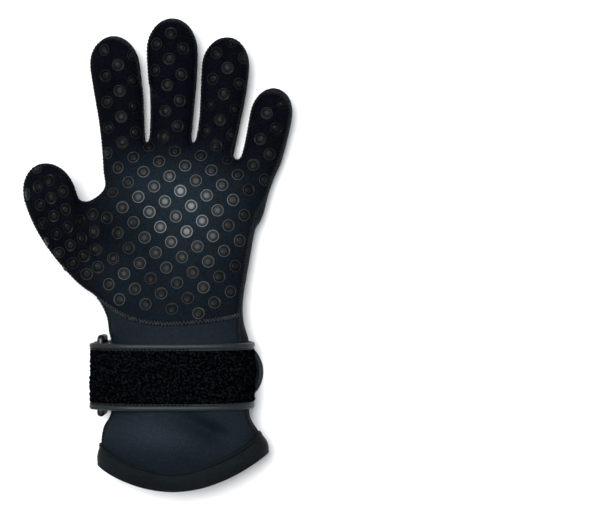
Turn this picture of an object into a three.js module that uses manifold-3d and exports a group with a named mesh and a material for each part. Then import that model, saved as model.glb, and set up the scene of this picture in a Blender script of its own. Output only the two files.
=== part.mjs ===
// A left-hand neoprene diving glove lying on its back, palm up.
// X runs across the palm from thumb to little finger, Y from the cuff to the fingertips and Z up.
// The hand is lofted from sections: one tube for palm and cuff and one for each digit, joined,
// hollowed by the same tubes taken in by the wall, then cut along the seams into sewn panels.
// A hem tape folds over the cuff's edge and a strap runs round the wrist and back through a ring.

import * as THREE from "three";
import { mergeVertices } from "three/addons/utils/BufferGeometryUtils.js";
import Module from "manifold-3d";

const wasm = await Module();
wasm.setup();

// Driving sizes, in millimetres

const palmWidth = 100; // across the roots of the fingers
const palmLength = 105; // from the wrist seam to the webs of the fingers
const palmDepth = 38; // from the floor to the top of the palm
const cuffLength = 83; // from the wrist seam to the hem at the sides
const cuffWidth = 103.4; // across the open end
const cuffDepth = 40; // of the open end
const hemDroop = 17.5; // how far the hem hangs lower in the middle of the palm side
const backDroop = 6; // the same on the back of the hand
const hemSlant = 7.3; // how much higher the hem is at the little finger's side
const fingerLength = 100; // of the middle finger, from its root inside the palm
const fingerWidth = 30.2;
const fingerDepth = 22.5;
const wall = 3; // of the neoprene
const seamGap = 0.3; // between two sewn panels
const fitGap = 0.3; // between pieces that touch
const seamRise = 1.5; // how far the side seams lie on the palm side of the digits' axes
const hemTapeWidth = 13;
const hemTapeThickness = 0.8;
const strapHeight = 39; // along the cuff
const strapBelowSeam = 33.3; // from the wrist seam to the middle of the strap
const strapThickness = 2.6; // webbing and pile together
const pileThickness = 1.1;
const edgingWidth = 4.2; // of the tape on the strap's edges
const edgingThickness = 3;
const tabReach = 8; // how far the strap's end stands out past the cuff
const strapSlack = 6; // how far the strap stands off the cuff at the ring
const foldSlack = 1.5; // how loosely it folds round the ring's bars
const sewnEnd = 10; // length of the strap's end that is turned in and sewn down
const ringThickness = 4.2;
const ringHeight = 21.2; // round the wrist
const ringPlay = 1; // between the strap's edges and the ring

// Turns of the strap in the wrist's cross-section, in degrees from the little finger's side

const frontFoldFrom = -60;
const frontFoldTo = -240;
const sewnEndTurn = 30; // slope of the sewn end towards the palm
const wristFrom = 140; // where the strap meets the wrist
const wristTo = -158; // and where it leaves it
const slackFrom = 95; // from here to slackTo it comes away from the cuff
const slackTo = 145;
const backFoldFrom = 30;
const backFoldTo = 180;

// Resolution

const cuffSides = 26;
const digitSides = 12;
const squareness = 2.3; // exponent of the rounded sections
const hemCurve = 1.6; // exponent of the hem's curve

// Palm: one row for each section. up is a share of palmLength above the wrist seam, thumb and
// little are the two sides as shares of palmWidth, height, front and back are shares of palmDepth,
// dip is the hollow of the palm and web how far the thumb's side rises towards the thumb.
const palmRows = [
  { up: 1.03, thumb: -0.34, little: 0.2, height: 0.43, front: 0.2, back: 0.22, dip: 0, web: 0 },
  { up: 1.0, thumb: -0.4, little: 0.29, height: 0.43, front: 0.28, back: 0.3, dip: 0, web: 0 },
  { up: 0.95, thumb: -0.425, little: 0.34, height: 0.44, front: 0.34, back: 0.36, dip: 0.01, web: 0 },
  { up: 0.89, thumb: -0.43, little: 0.5, height: 0.46, front: 0.39, back: 0.42, dip: 0.03, web: 0 },
  { up: 0.85, thumb: -0.43, little: 0.585, height: 0.47, front: 0.42, back: 0.46, dip: 0.05, web: 0 },
  { up: 0.77, thumb: -0.435, little: 0.59, height: 0.49, front: 0.46, back: 0.51, dip: 0.08, web: 0.02 },
  { up: 0.715, thumb: -0.475, little: 0.55, height: 0.5, front: 0.47, back: 0.52, dip: 0.1, web: 0.08 },
  { up: 0.69, thumb: -0.555, little: 0.538, height: 0.505, front: 0.48, back: 0.525, dip: 0.1, web: 0.2 },
  { up: 0.65, thumb: -0.61, little: 0.516, height: 0.51, front: 0.48, back: 0.53, dip: 0.11, web: 0.28 },
  { up: 0.5, thumb: -0.59, little: 0.475, height: 0.53, front: 0.49, back: 0.55, dip: 0.12, web: 0.26 },
  { up: 0.36, thumb: -0.54, little: 0.45, height: 0.55, front: 0.5, back: 0.56, dip: 0.1, web: 0.18 },
  { up: 0.22, thumb: -0.5, little: 0.425, height: 0.59, front: 0.5, back: 0.55, dip: 0.06, web: 0.08 },
  { up: 0.14, thumb: -0.475, little: 0.412, height: 0.63, front: 0.5, back: 0.54, dip: 0.04, web: 0.03 },
  { up: 0.07, thumb: -0.432, little: 0.408, height: 0.66, front: 0.51, back: 0.54, dip: 0.02, web: 0 },
  { up: 0.0, thumb: -0.404, little: 0.414, height: 0.7, front: 0.52, back: 0.54, dip: 0, web: 0 },
];
// Between the wrist seam and the ring: down is a share of the way, the rest as above.
const wristRows = [
  { down: 0.8, thumb: -0.412, little: 0.432, height: 0.71, front: 0.53, back: 0.53 },
];
// Under the strap the section stays the same, and it lies on two layers of the strap.
const strapRow = { thumb: -0.386, little: 0.449, front: 0.54, back: 0.527 };
// Below the ring: down is a share of the way to the hem, thumb and little are shares of cuffWidth
// and height, front and back of cuffDepth.
const cuffRows = [
  { down: 0.14, thumb: -0.425, little: 0.457, height: 0.65, front: 0.52, back: 0.53 },
  { down: 0.4, thumb: -0.436, little: 0.49, height: 0.6, front: 0.51, back: 0.545 },
  { down: 0.7, thumb: -0.445, little: 0.523, height: 0.56, front: 0.495, back: 0.55 },
  { down: 1, thumb: -0.457, little: 0.543, height: 0.54, front: 0.48, back: 0.54 },
];

// Digits: across and up place the root as shares of palmWidth and palmLength, lean is the way the
// root points in degrees from +Y towards +X, and bend is the turn from there to the tip. length,
// width and depth are shares of the finger's sizes, waist is the width near the root as a share of
// the widest, and root, bow and tip are the axis's heights as shares of palmDepth.
const digits = [
  { name: "thumb", across: -0.356, up: 0.212, lean: -54.5, bend: 50, length: 0.928, width: 1.0,
    depth: 1.15, waist: 0.9, root: 0.55, bow: 0.88, tip: 1.18 },
  { name: "index", across: -0.309, up: 0.73, lean: -2, bend: -6, length: 0.98, width: 0.99,
    depth: 1, waist: 0.87, root: 0.47, bow: 0.26, tip: 0.7 },
  { name: "middle", across: -0.068, up: 0.81, lean: 6.8, bend: -8.6, length: 1.003, width: 1.02,
    depth: 1, waist: 0.83, root: 0.46, bow: 0.26, tip: 0.72 },
  { name: "ring", across: 0.19, up: 0.8, lean: 14.3, bend: -12.2, length: 0.905, width: 0.95,
    depth: 0.97, waist: 0.9, root: 0.46, bow: 0.26, tip: 0.7 },
  { name: "little", across: 0.385, up: 0.61, lean: 21.8, bend: -14.8, length: 0.8, width: 0.83,
    depth: 0.9, waist: 0.97, root: 0.46, bow: 0.28, tip: 0.64 },
];
// The outline of a digit before its rounded tip: along is a share of the straight part, and full
// runs from 0 where the width is the waist's to 1 where it is the widest.
const digitOutline = [
  { along: 0, full: -0.3 },
  { along: 0.2, full: 0 },
  { along: 0.45, full: 0.05 },
  { along: 0.6, full: 0.3 },
  { along: 0.75, full: 0.65 },
  { along: 0.9, full: 0.95 },
  { along: 1, full: 1 },
];
const tipSteps = 4; // rings on the rounded tip
const seamStepAcross = 7;
const seamStepAlong = 20;
const tipRoundness = 0.64; // length of the rounded tip as a share of the digit's width
const foldSteps = 6; // of the strap round a bar of the ring
const tabSides = 28;

// The palm panel's lower edge: up is a share of palmLength at across, a share of palmWidth.
const wristSeam = [
  { across: -1.2, up: 0.34 },
  { across: -0.56, up: 0.2 },
  { across: -0.445, up: 0.137 },
  { across: -0.355, up: 0.074 },
  { across: -0.265, up: 0.028 },
  { across: -0.15, up: 0.0 },
  { across: 0.0, up: -0.006 },
  { across: 0.2, up: 0.01 },
  { across: 0.35, up: 0.03 },
  { across: 0.43, up: 0.057 },
  { across: 0.7, up: 0.08 },
];

// Solids

function toSolid(geometry) {
  const plain = new THREE.BufferGeometry();
  plain.setAttribute("position", geometry.getAttribute("position"));
  plain.setIndex(geometry.getIndex());
  const merged = mergeVertices(plain, 1e-4);
  return new wasm.Manifold(
    new wasm.Mesh({
      numProp: 3,
      vertProperties: new Float32Array(merged.attributes.position.array),
      triVerts: new Uint32Array(merged.index.array),
    }),
  );
}

function toGeometry(solid) {
  const mesh = solid.getMesh();
  const positions = new Float32Array(mesh.numVert * 3);
  for (let i = 0; i < mesh.numVert; i++) {
    const start = i * mesh.numProp;
    positions.set(mesh.vertProperties.subarray(start, start + 3), i * 3);
  }
  const geometry = new THREE.BufferGeometry();
  geometry.setAttribute("position", new THREE.BufferAttribute(positions, 3));
  geometry.setIndex(new THREE.BufferAttribute(new Uint32Array(mesh.triVerts), 1));
  geometry.computeVertexNormals();
  return geometry;
}

// A closed tube through rings of as many points each, with a fan over each end.
function loft(rings) {
  const sides = rings[0].length;
  const points = rings.flat();
  const triangles = [];
  for (let r = 0; r < rings.length - 1; r++) {
    for (let s = 0; s < sides; s++) {
      const next = (s + 1) % sides;
      const a = r * sides + s;
      const b = r * sides + next;
      triangles.push(a, b, a + sides, b, b + sides, a + sides);
    }
  }
  const middle = (ring) =>
    ring.reduce((sum, p) => sum.add(p), new THREE.Vector3()).divideScalar(ring.length);
  const last = (rings.length - 1) * sides;
  points.push(middle(rings[0]), middle(rings[rings.length - 1]));
  for (let s = 0; s < sides; s++) {
    const next = (s + 1) % sides;
    triangles.push(next, s, points.length - 2, last + s, last + next, points.length - 1);
  }
  const geometry = new THREE.BufferGeometry();
  geometry.setAttribute("position", new THREE.Float32BufferAttribute(points.flatMap((p) => p.toArray()), 3));
  geometry.setIndex(triangles);
  const solid = toSolid(geometry);
  if (solid.volume() > 0) return solid;
  geometry.setIndex(triangles.reverse());
  return toSolid(geometry);
}

// A flat outline of [a, b] pairs pushed along Z from low to high.
function prism(outline, low, high) {
  const shape = new THREE.Shape(outline.map(([a, b]) => new THREE.Vector2(a, b)));
  const geometry = new THREE.ExtrudeGeometry(shape, { depth: high - low, bevelEnabled: false });
  return toSolid(geometry.translate(0, 0, low));
}

const box = (x0, x1, y0, y1, z0, z1) =>
  toSolid(
    new THREE.BoxGeometry(x1 - x0, y1 - y0, z1 - z0).translate(
      (x0 + x1) / 2,
      (y0 + y1) / 2,
      (z0 + z1) / 2,
    ),
  );

const joined = (solids) => solids.reduce((sum, solid) => sum.add(solid));

// Straight-line interpolation in a table of rows.
function lookUp(rows, key, value, at) {
  if (at <= rows[0][key]) return rows[0][value];
  for (let i = 1; i < rows.length; i++) {
    const from = rows[i - 1];
    const to = rows[i];
    if (at <= to[key]) {
      return from[value] + ((to[value] - from[value]) * (at - from[key])) / (to[key] - from[key]);
    }
  }
  return rows[rows.length - 1][value];
}

const smooth = (t) => {
  const u = Math.min(Math.max(t, 0), 1);
  return u * u * (3 - 2 * u);
};

const power = (value) => Math.sign(value) * Math.abs(value) ** (2 / squareness);

// Places along the hand, with the wrist seam at 0

const layer = edgingThickness + fitGap; // from one layer of strap to the next
const ringLength = strapHeight + 2 * (ringPlay + ringThickness); // along the cuff
const strapY = -strapBelowSeam;
const ringTop = strapY + ringLength / 2;
const ringBottom = strapY - ringLength / 2;
const hemY = -cuffLength;
const hemSkin = fitGap + hemTapeThickness; // from the cuff to the outside of its tape

// Sections of the palm and cuff in millimetres, from the fingers down to the hem

function section(y, row, acrossUnit, depthUnit) {
  return {
    y,
    thumb: row.thumb * acrossUnit,
    little: row.little * acrossUnit,
    z: (row.height ?? 0) * depthUnit,
    front: row.front * depthUnit,
    back: row.back * depthUnit,
    dip: (row.dip ?? 0) * depthUnit,
    web: (row.web ?? 0) * depthUnit,
  };
}

const strapSection = section(strapY, strapRow, palmWidth, palmDepth);
strapSection.z = strapSection.back + 2 * layer + 2 * fitGap;
const sections = [
  ...palmRows.map((row) => section(row.up * palmLength, row, palmWidth, palmDepth)),
  ...wristRows.map((row) => section(row.down * ringTop, row, palmWidth, palmDepth)),
  { ...strapSection, y: ringTop },
  { ...strapSection, y: ringBottom },
  ...cuffRows.map((row) =>
    section(ringBottom + row.down * (hemY - ringBottom), row, cuffWidth, cuffDepth),
  ),
];
const hemSection = sections[sections.length - 1];

// How much of the hem's shape a section has: none at the ring, all of it at the hem.
const hemShare = (y) => smooth((ringBottom - y) / (ringBottom - hemY));

// How far below its section's height a point of the cuff hangs.
function droop(y, turn) {
  const across = power(Math.cos(turn));
  const drop = Math.sin(turn) > 0 ? hemDroop : backDroop;
  return hemShare(y) * (drop * (1 - Math.abs(across) ** hemCurve) - (hemSlant / 2) * across);
}

// A ring of points on a section taken in by inset, with its underside flattened on the floor.
function cuffRing(at, inset, down = 0) {
  const middle = (at.thumb + at.little) / 2;
  const half = (at.little - at.thumb) / 2 - inset;
  const floor = Math.max(inset + hemSkin * Math.min(1, 2 * hemShare(at.y)), 0);
  return Array.from({ length: cuffSides }, (_, i) => {
    const turn = (i / cuffSides) * 2 * Math.PI;
    const across = power(Math.cos(turn));
    const depth = (Math.sin(turn) > 0 ? at.front : at.back) - inset;
    const hollow = Math.sin(turn) > 0 ? at.dip * Math.exp(-((2 * Math.cos(turn)) ** 2)) : 0;
    const rise = at.web * Math.min(across, 0) ** 2;
    return new THREE.Vector3(
      middle + half * across,
      at.y - down - droop(at.y - down, turn),
      Math.max(at.z + depth * power(Math.sin(turn)) + rise - hollow, floor),
    );
  });
}

// The palm and cuff tube. The hollow runs on past the hem, so that the cuff is open.
function handTube(inset, past) {
  const rings = sections.map((at) => cuffRing(at, inset));
  const top = sections[0];
  if (inset > 0) rings.splice(0, 1, cuffRing({ ...top, y: top.y - inset }, inset));
  if (past) rings.push(cuffRing(hemSection, inset, past));
  return loft(rings);
}

// Digits

function digitAxis(digit) {
  const leg = (digit.length * fingerLength) / 2;
  const toward = (degrees, length) => {
    const angle = THREE.MathUtils.degToRad(degrees);
    return new THREE.Vector3(length * Math.sin(angle), length * Math.cos(angle), 0);
  };
  const root = new THREE.Vector3(digit.across * palmWidth, digit.up * palmLength, 0);
  const bow = root.clone().add(toward(digit.lean, leg));
  const tip = bow.clone().add(toward(digit.lean + digit.bend, leg));
  root.z = digit.root * palmDepth;
  bow.z = digit.bow * palmDepth;
  tip.z = digit.tip * palmDepth;
  return new THREE.QuadraticBezierCurve3(root, bow, tip);
}

function digitTube(digit, inset) {
  const axis = digitAxis(digit);
  const width = digit.width * fingerWidth;
  const depth = digit.depth * fingerDepth;
  const total = axis.getLength();
  const rounded = tipRoundness * width;
  const straight = total - rounded;
  const stations = digitOutline.map((row) => ({
    s: row.along * straight,
    share: digit.waist + (1 - digit.waist) * row.full,
    tip: 1,
  }));
  for (let i = 1; i <= tipSteps; i++) {
    const turn = (i / (tipSteps + 0.25)) * (Math.PI / 2);
    stations.push({ s: straight + (rounded - inset) * Math.sin(turn), share: 1, tip: Math.cos(turn) });
  }
  const rings = stations.map(({ s, share, tip }) => {
    const at = axis.getPointAt(s / total);
    const along = axis.getTangentAt(s / total);
    const up = new THREE.Vector3(0, 0, 1).addScaledVector(along, -along.z).normalize();
    const side = new THREE.Vector3().crossVectors(along, up);
    const halfWidth = ((width / 2) * share - inset) * tip;
    const halfDepth = ((depth / 2) * (0.4 + 0.6 * share) - inset) * tip;
    return Array.from({ length: digitSides }, (_, i) => {
      const turn = (i / digitSides) * 2 * Math.PI;
      const point = at
        .clone()
        .addScaledVector(side, halfWidth * power(Math.cos(turn)))
        .addScaledVector(up, halfDepth * power(Math.sin(turn)));
      point.z = Math.max(point.z, inset);
      return point;
    });
  });
  return loft(rings);
}

const gloveOutside = joined([handTube(0, 0), ...digits.map((digit) => digitTube(digit, 0))]);
const gloveInside = joined([handTube(wall, 2 * hemDroop), ...digits.map((digit) => digitTube(digit, wall))]);
const glove = gloveOutside.subtract(gloveInside);

// Seams: a sheet at the height of the side seams parts the palm side from the back of the hand

function palmSeamHeight(y) {
  const byHeight = sections.map((at) => ({ y: at.y, z: at.z })).reverse();
  return lookUp(byHeight, "y", "z", y);
}

const digitLines = digits.map((digit) => {
  const line = digitAxis(digit).getPoints(12);
  return { points: line.map((p) => ({ x: p.x, y: p.y, z: p.z })), half: 0.55 * digit.width * fingerWidth };
});

function seamHeight(x, y) {
  const stops = digitLines.flatMap(({ points, half }) => {
    const alongX = lookUp(points, "y", "x", y);
    const joining = smooth((y - points[0].y) / half);
    const z = lookUp(points, "y", "z", y) * joining + palmSeamHeight(y) * (1 - joining);
    return [
      { x: alongX - half, z },
      { x: alongX + half, z },
    ];
  });
  stops.sort((a, b) => a.x - b.x);
  return lookUp(stops, "x", "z", x) + seamRise;
}

// The space over or under the sheet, on a grid of rectangles.
function seamSpace(side) {
  const reach = { x0: -palmWidth, x1: palmWidth, y0: -cuffLength * 1.5, y1: palmLength + fingerLength };
  const columns = Math.round((reach.x1 - reach.x0) / seamStepAcross);
  const rows = Math.round((reach.y1 - reach.y0) / seamStepAlong);
  const far = side * 2 * fingerLength;
  const positions = [];
  for (const layer of ["sheet", "far"]) {
    for (let r = 0; r <= rows; r++) {
      for (let c = 0; c <= columns; c++) {
        const x = reach.x0 + ((reach.x1 - reach.x0) * c) / columns;
        const y = reach.y0 + ((reach.y1 - reach.y0) * r) / rows;
        positions.push(x, y, layer === "sheet" ? seamHeight(x, y) + (side * seamGap) / 2 : far);
      }
    }
  }
  const wide = columns + 1;
  const far0 = wide * (rows + 1);
  const triangles = [];
  const square = (a, b, c, d) => triangles.push(a, b, c, a, c, d);
  for (let r = 0; r < rows; r++) {
    for (let c = 0; c < columns; c++) {
      const a = r * wide + c;
      square(a, a + wide, a + wide + 1, a + 1);
      square(far0 + a, far0 + a + 1, far0 + a + wide + 1, far0 + a + wide);
    }
  }
  for (let c = 0; c < columns; c++) {
    const top = rows * wide + c;
    square(c, c + 1, far0 + c + 1, far0 + c);
    square(top + 1, top, far0 + top, far0 + top + 1);
  }
  for (let r = 0; r < rows; r++) {
    const a = r * wide;
    const b = a + columns;
    square(a + wide, a, far0 + a, far0 + a + wide);
    square(b, b + wide, far0 + b + wide, far0 + b);
  }
  const geometry = new THREE.BufferGeometry();
  geometry.setAttribute("position", new THREE.Float32BufferAttribute(positions, 3));
  geometry.setIndex(side > 0 ? triangles : triangles.reverse());
  return toSolid(geometry);
}

// The space on the finger side or the cuff side of the wrist seam.
function wristSpace(side) {
  const edge = wristSeam.map(({ across, up }) => [
    across * palmWidth,
    up * palmLength + (side * seamGap) / 2,
  ]);
  const far = side * (palmLength + fingerLength);
  const outline = [...edge, [edge[edge.length - 1][0], far], [edge[0][0], far]];
  return prism(outline, 0, 3 * palmDepth);
}

const palmSide = glove.intersect(seamSpace(1));
const palmPanel = palmSide.intersect(wristSpace(1));
const wristPanel = palmSide.intersect(wristSpace(-1));
const backPanel = glove.intersect(seamSpace(-1));

// Hem tape: folded over the edge of the cuff, inside and out

function hemTape() {
  const hemTop = hemY + hemTapeWidth;
  const from = (y) => {
    const rows = [...sections].reverse();
    const row = { y };
    for (const key of ["thumb", "little", "z", "front", "back"]) row[key] = lookUp(rows, "y", key, y);
    row.dip = 0;
    row.web = 0;
    return row;
  };
  const stack = (grow, top, past) =>
    loft([
      cuffRing(from(top), grow),
      ...sections.filter((at) => at.y < top - 1).map((at) => cuffRing(at, grow)),
      cuffRing(hemSection, grow, past),
    ]);
  const outer = stack(-hemSkin, hemTop, hemSkin);
  const bore = stack(wall + hemSkin, hemTop + hemTapeWidth, 3 * hemSkin);
  const slotOuter = stack(-fitGap, hemTop + hemTapeWidth, fitGap);
  const slotInner = stack(wall + fitGap, hemTop + 2 * hemTapeWidth, 2 * hemSkin);
  return outer.subtract(bore).subtract(slotOuter.subtract(slotInner));
}

// Strap: its middle line in the cross-section of the wrist, as [x, z] points.
// It starts behind the ring's front bar, goes round that bar, over the palm side, round by the
// little finger, under the back, out through the ring round its back bar, and back under itself.

const barRadius = ringThickness / 2;
const foldRadius = barRadius + fitGap + foldSlack + edgingThickness / 2;
const ringX = strapSection.thumb - layer - fitGap - barRadius;
const frontBarZ = strapSection.z + ringHeight / 2 - barRadius;
const backBarZ = strapSection.z - ringHeight / 2 + barRadius;
const strapMiddleX = (strapSection.thumb + strapSection.little) / 2;
const tabEndX = strapSection.little + tabReach;

// A point of the wrist's section moved out by off.
function wristPoint(degrees, off) {
  const turn = THREE.MathUtils.degToRad(degrees);
  const half = (strapSection.little - strapSection.thumb) / 2 + off;
  const depth = (Math.sin(turn) > 0 ? strapSection.front : strapSection.back) + off;
  return [strapMiddleX + half * power(Math.cos(turn)), strapSection.z + depth * power(Math.sin(turn))];
}

// Points on an arc in the cross-section, with both ends.
function arc(x, z, radius, from, to, steps) {
  return Array.from({ length: steps + 1 }, (_, i) => {
    const turn = THREE.MathUtils.degToRad(from + ((to - from) * i) / steps);
    return [x + radius * Math.cos(turn), z + radius * Math.sin(turn)];
  });
}

function strapLine() {
  const close = 2 * fitGap + edgingThickness / 2;
  const floorZ = edgingThickness / 2;
  const frontFold = arc(ringX, frontBarZ, foldRadius, frontFoldFrom, frontFoldTo, foldSteps);
  const toPalm = THREE.MathUtils.degToRad(sewnEndTurn);
  const out = new THREE.Vector2(Math.cos(toPalm), Math.sin(toPalm));
  const [outX, outZ] = frontFold[frontFold.length - 1];
  const sewn = [outX + sewnEnd * out.x + layer * out.y, outZ + sewnEnd * out.y - layer * out.x];
  const side = 360 / cuffSides;
  const round = [];
  for (let i = Math.floor(wristFrom / side); i * side >= wristTo; i--) {
    const slack = smooth((i * side - slackFrom) / (slackTo - slackFrom));
    round.push(wristPoint(i * side, close + strapSlack * slack));
  }
  const backFold = arc(ringX, backBarZ, foldRadius, backFoldFrom, backFoldTo, foldSteps - 1);
  const corner = backBarZ - floorZ;
  const toFloor = arc(ringX - foldRadius + corner, backBarZ, corner, 180, 270, foldSteps - 1).slice(1);
  return [sewn, ...frontFold, ...round, ...backFold, ...toFloor, [tabEndX, floorZ]];
}

// The strap's line as a band from low to high to its left, strapHeight long.
function strapBand(low, high, height) {
  const line = strapLine().map(([x, z]) => new THREE.Vector2(x, z));
  const normals = line.map((p, i) => {
    const before = line[Math.max(i - 1, 0)];
    const after = line[Math.min(i + 1, line.length - 1)];
    const along = after.clone().sub(before).normalize();
    return new THREE.Vector2(-along.y, along.x);
  });
  const shifted = (off) => line.map((p, i) => p.clone().addScaledVector(normals[i], off));
  const outline = [...shifted(low), ...shifted(high).reverse()].map((p) => [p.x, p.y]);
  const band = prism(outline, -height / 2, height / 2).rotate([90, 0, 0]);
  return band.translate([0, strapY, 0]);
}

// A flat shape with a round end at the tab, for cutting the strap's end.
function tabSpace(halfHeight) {
  const centreX = tabEndX - strapHeight / 2;
  const round = new THREE.CylinderGeometry(halfHeight, halfHeight, layer + 2, tabSides).rotateX(Math.PI / 2);
  const disc = toSolid(round.translate(centreX, strapY, layer / 2 - 1));
  const start = box(-palmWidth, centreX, strapY - halfHeight, strapY + halfHeight, -1, 2 * palmDepth);
  const above = box(0, palmWidth, strapY - halfHeight, strapY + halfHeight, layer, 2 * palmDepth);
  return joined([disc, start, above]);
}

const half = edgingThickness / 2;
const innerHeight = strapHeight - 2 * edgingWidth;
const pileInner = strapThickness - pileThickness - half;
const strapWhole = strapBand(-half, half, strapHeight).intersect(tabSpace(strapHeight / 2));
const edging = strapWhole.subtract(tabSpace(innerHeight / 2));
const insideTab = tabSpace(innerHeight / 2 - fitGap);
const webbing = strapBand(-half, pileInner - fitGap, strapHeight).intersect(insideTab);
const pile = strapBand(pileInner, strapThickness - half, strapHeight).intersect(insideTab);

// Ring: a flat rectangular loop standing at the thumb side of the wrist

function ring() {
  const rectangle = (halfLong, halfHigh, corner, Kind) => {
    const path = new Kind();
    path.moveTo(-halfLong + corner, -halfHigh);
    path.lineTo(halfLong - corner, -halfHigh);
    path.absarc(halfLong - corner, -halfHigh + corner, corner, -Math.PI / 2, 0);
    path.lineTo(halfLong, halfHigh - corner);
    path.absarc(halfLong - corner, halfHigh - corner, corner, 0, Math.PI / 2);
    path.lineTo(-halfLong + corner, halfHigh);
    path.absarc(-halfLong + corner, halfHigh - corner, corner, Math.PI / 2, Math.PI);
    path.lineTo(-halfLong, -halfHigh + corner);
    path.absarc(-halfLong + corner, -halfHigh + corner, corner, Math.PI, 1.5 * Math.PI);
    return path;
  };
  const bevel = ringThickness / 4;
  const outline = rectangle(ringLength / 2 - bevel, ringHeight / 2 - bevel, 1.5, THREE.Shape);
  outline.holes.push(
    rectangle(
      ringLength / 2 - ringThickness + bevel,
      ringHeight / 2 - ringThickness + bevel,
      1,
      THREE.Path,
    ),
  );
  const geometry = new THREE.ExtrudeGeometry(outline, {
    depth: ringThickness - 2 * bevel,
    bevelThickness: bevel,
    bevelSize: bevel,
    bevelSegments: 1,
    curveSegments: 2,
  });
  geometry.translate(0, 0, -(ringThickness - 2 * bevel) / 2);
  geometry.rotateX(Math.PI / 2).rotateZ(Math.PI / 2);
  return toSolid(geometry.translate(ringX, strapY, strapSection.z));
}

// Materials

const material = (color, roughness) =>
  new THREE.MeshStandardMaterial({ color, roughness, metalness: 0 });
const palmCloth = material(0x1a2129, 0.75);
const backCloth = material(0x20272f, 0.8);
const hemCloth = material(0x181c1f, 0.9);
const webbingCloth = material(0x16191b, 0.8);
const pileCloth = material(0x08090b, 1);
const edgingTape = material(0x35393a, 0.5);
const ringPlastic = material(0x101112, 0.35);

// Assembly

const assembly = new THREE.Group();
function add(name, solid, surface) {
  const mesh = new THREE.Mesh(toGeometry(solid), surface);
  mesh.name = name;
  assembly.add(mesh);
}
add("palm_panel", palmPanel, palmCloth);
add("back_panel", backPanel, backCloth);
add("wrist_panel", wristPanel, backCloth);
add("hem_tape", hemTape(), hemCloth);
add("strap_webbing", webbing, webbingCloth);
add("strap_pile", pile, pileCloth);
add("strap_edging", edging, edgingTape);
add("strap_ring", ring(), ringPlastic);

// The origin is in the middle of the glove, on the floor
const bounds = new THREE.Box3().setFromObject(assembly);
const centre = bounds.getCenter(new THREE.Vector3());
assembly.position.set(-centre.x, -centre.y, -bounds.min.z);

export default assembly;
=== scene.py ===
# %% [markdown]
# # A neoprene diving glove, lying palm up
#
# The glove is a soft shell: flat panels of neoprene, a foam rubber with knitted cloth on its face,
# sewn edge to edge into a hand. A strap with hook-and-loop pile closes it at the wrist. The packed
# CAD model fixes every size and place. This lesson dresses it: each step first says what the piece
# is on the real glove, then makes it as a surface worked out with numpy.

import bpy
import numpy as np
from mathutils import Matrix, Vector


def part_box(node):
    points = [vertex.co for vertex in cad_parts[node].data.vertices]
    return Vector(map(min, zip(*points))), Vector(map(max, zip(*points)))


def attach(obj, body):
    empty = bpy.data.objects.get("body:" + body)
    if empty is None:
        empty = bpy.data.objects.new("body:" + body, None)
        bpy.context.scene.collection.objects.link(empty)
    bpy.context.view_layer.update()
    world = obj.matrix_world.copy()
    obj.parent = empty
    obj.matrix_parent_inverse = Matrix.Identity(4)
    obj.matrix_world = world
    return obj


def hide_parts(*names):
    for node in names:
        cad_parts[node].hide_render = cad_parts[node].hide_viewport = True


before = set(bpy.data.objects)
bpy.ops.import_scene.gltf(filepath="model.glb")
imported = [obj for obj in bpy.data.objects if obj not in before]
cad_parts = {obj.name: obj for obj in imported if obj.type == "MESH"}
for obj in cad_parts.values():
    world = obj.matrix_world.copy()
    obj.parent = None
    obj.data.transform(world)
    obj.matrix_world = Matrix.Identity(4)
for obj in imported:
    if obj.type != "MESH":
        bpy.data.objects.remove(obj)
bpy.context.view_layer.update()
MM = 0.001

# %% [markdown]
# ## Camera, floor and light
#
# The photograph looks straight down, so the camera hangs straight above the table, to the right of
# the glove, which puts the glove in the left of the picture. The glove is black and the table is
# nearly white. One large soft lamp, hung almost overhead, lights both, and two weak lamps at the
# sides and a pale sky keep the shadows open.

# %% Camera at the photograph's angle
CAMERA_AT = (86.3 * MM, -7.6 * MM, 925 * MM)
FRAME_WIDTH_MM = 36
LENS_MM = 88.52


def place_camera():
    data = bpy.data.cameras.new("camera")
    data.sensor_width = FRAME_WIDTH_MM
    data.lens = LENS_MM
    data.clip_start = 0.01
    camera = bpy.data.objects.new("camera", data)
    camera.location = CAMERA_AT
    bpy.context.scene.collection.objects.link(camera)
    bpy.context.scene.camera = camera


place_camera()
print("camera above", [round(value, 3) for value in CAMERA_AT])

# %% Lamps
LAMPS = [
    {"name": "overhead", "at": (-0.06, 0.12, 1.1), "size": 0.5, "power": 18, "tint": (1, 1, 1)},
    {"name": "left_side", "at": (-0.9, 0.35, 0.75), "size": 0.7, "power": 2,
     "tint": (0.94, 0.97, 1)},
    {"name": "right_side", "at": (0.95, -0.3, 0.8), "size": 0.7, "power": 2,
     "tint": (1, 0.98, 0.96)},
]
SKY_COLOUR, SKY_STRENGTH = (0.86, 0.93, 1.0, 1), 0.22


def hang_lamp(name, at, size, power, tint):
    """A round area lamp at a place in metres, turned to face the origin."""
    data = bpy.data.lights.new(name, "AREA")
    data.shape = "DISK"
    data.size = size
    data.energy = power
    data.color = tint
    lamp = bpy.data.objects.new(name, data)
    lamp.location = at
    x, y, z = at
    lamp.rotation_euler = (np.arctan2(np.hypot(x, y), z), 0, np.arctan2(x, -y))
    bpy.context.scene.collection.objects.link(lamp)


for lamp in LAMPS:
    hang_lamp(**lamp)

world = bpy.data.worlds.new("studio")
world.use_nodes = True
sky = world.node_tree.nodes["Background"].inputs
sky["Color"].default_value = SKY_COLOUR
sky["Strength"].default_value = SKY_STRENGTH
bpy.context.scene.world = world
bpy.context.scene.view_settings.view_transform = "Standard"
print("lamps:", len(LAMPS))

# %% [markdown]
# ## Helpers for surfaces
#
# Every new piece is one of three things: a grid of points joined to its neighbours, a profile
# carried along a path, or a small shape repeated many times. The three helpers take whole arrays
# of points in millimetres and turn them into a mesh in metres.

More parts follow.
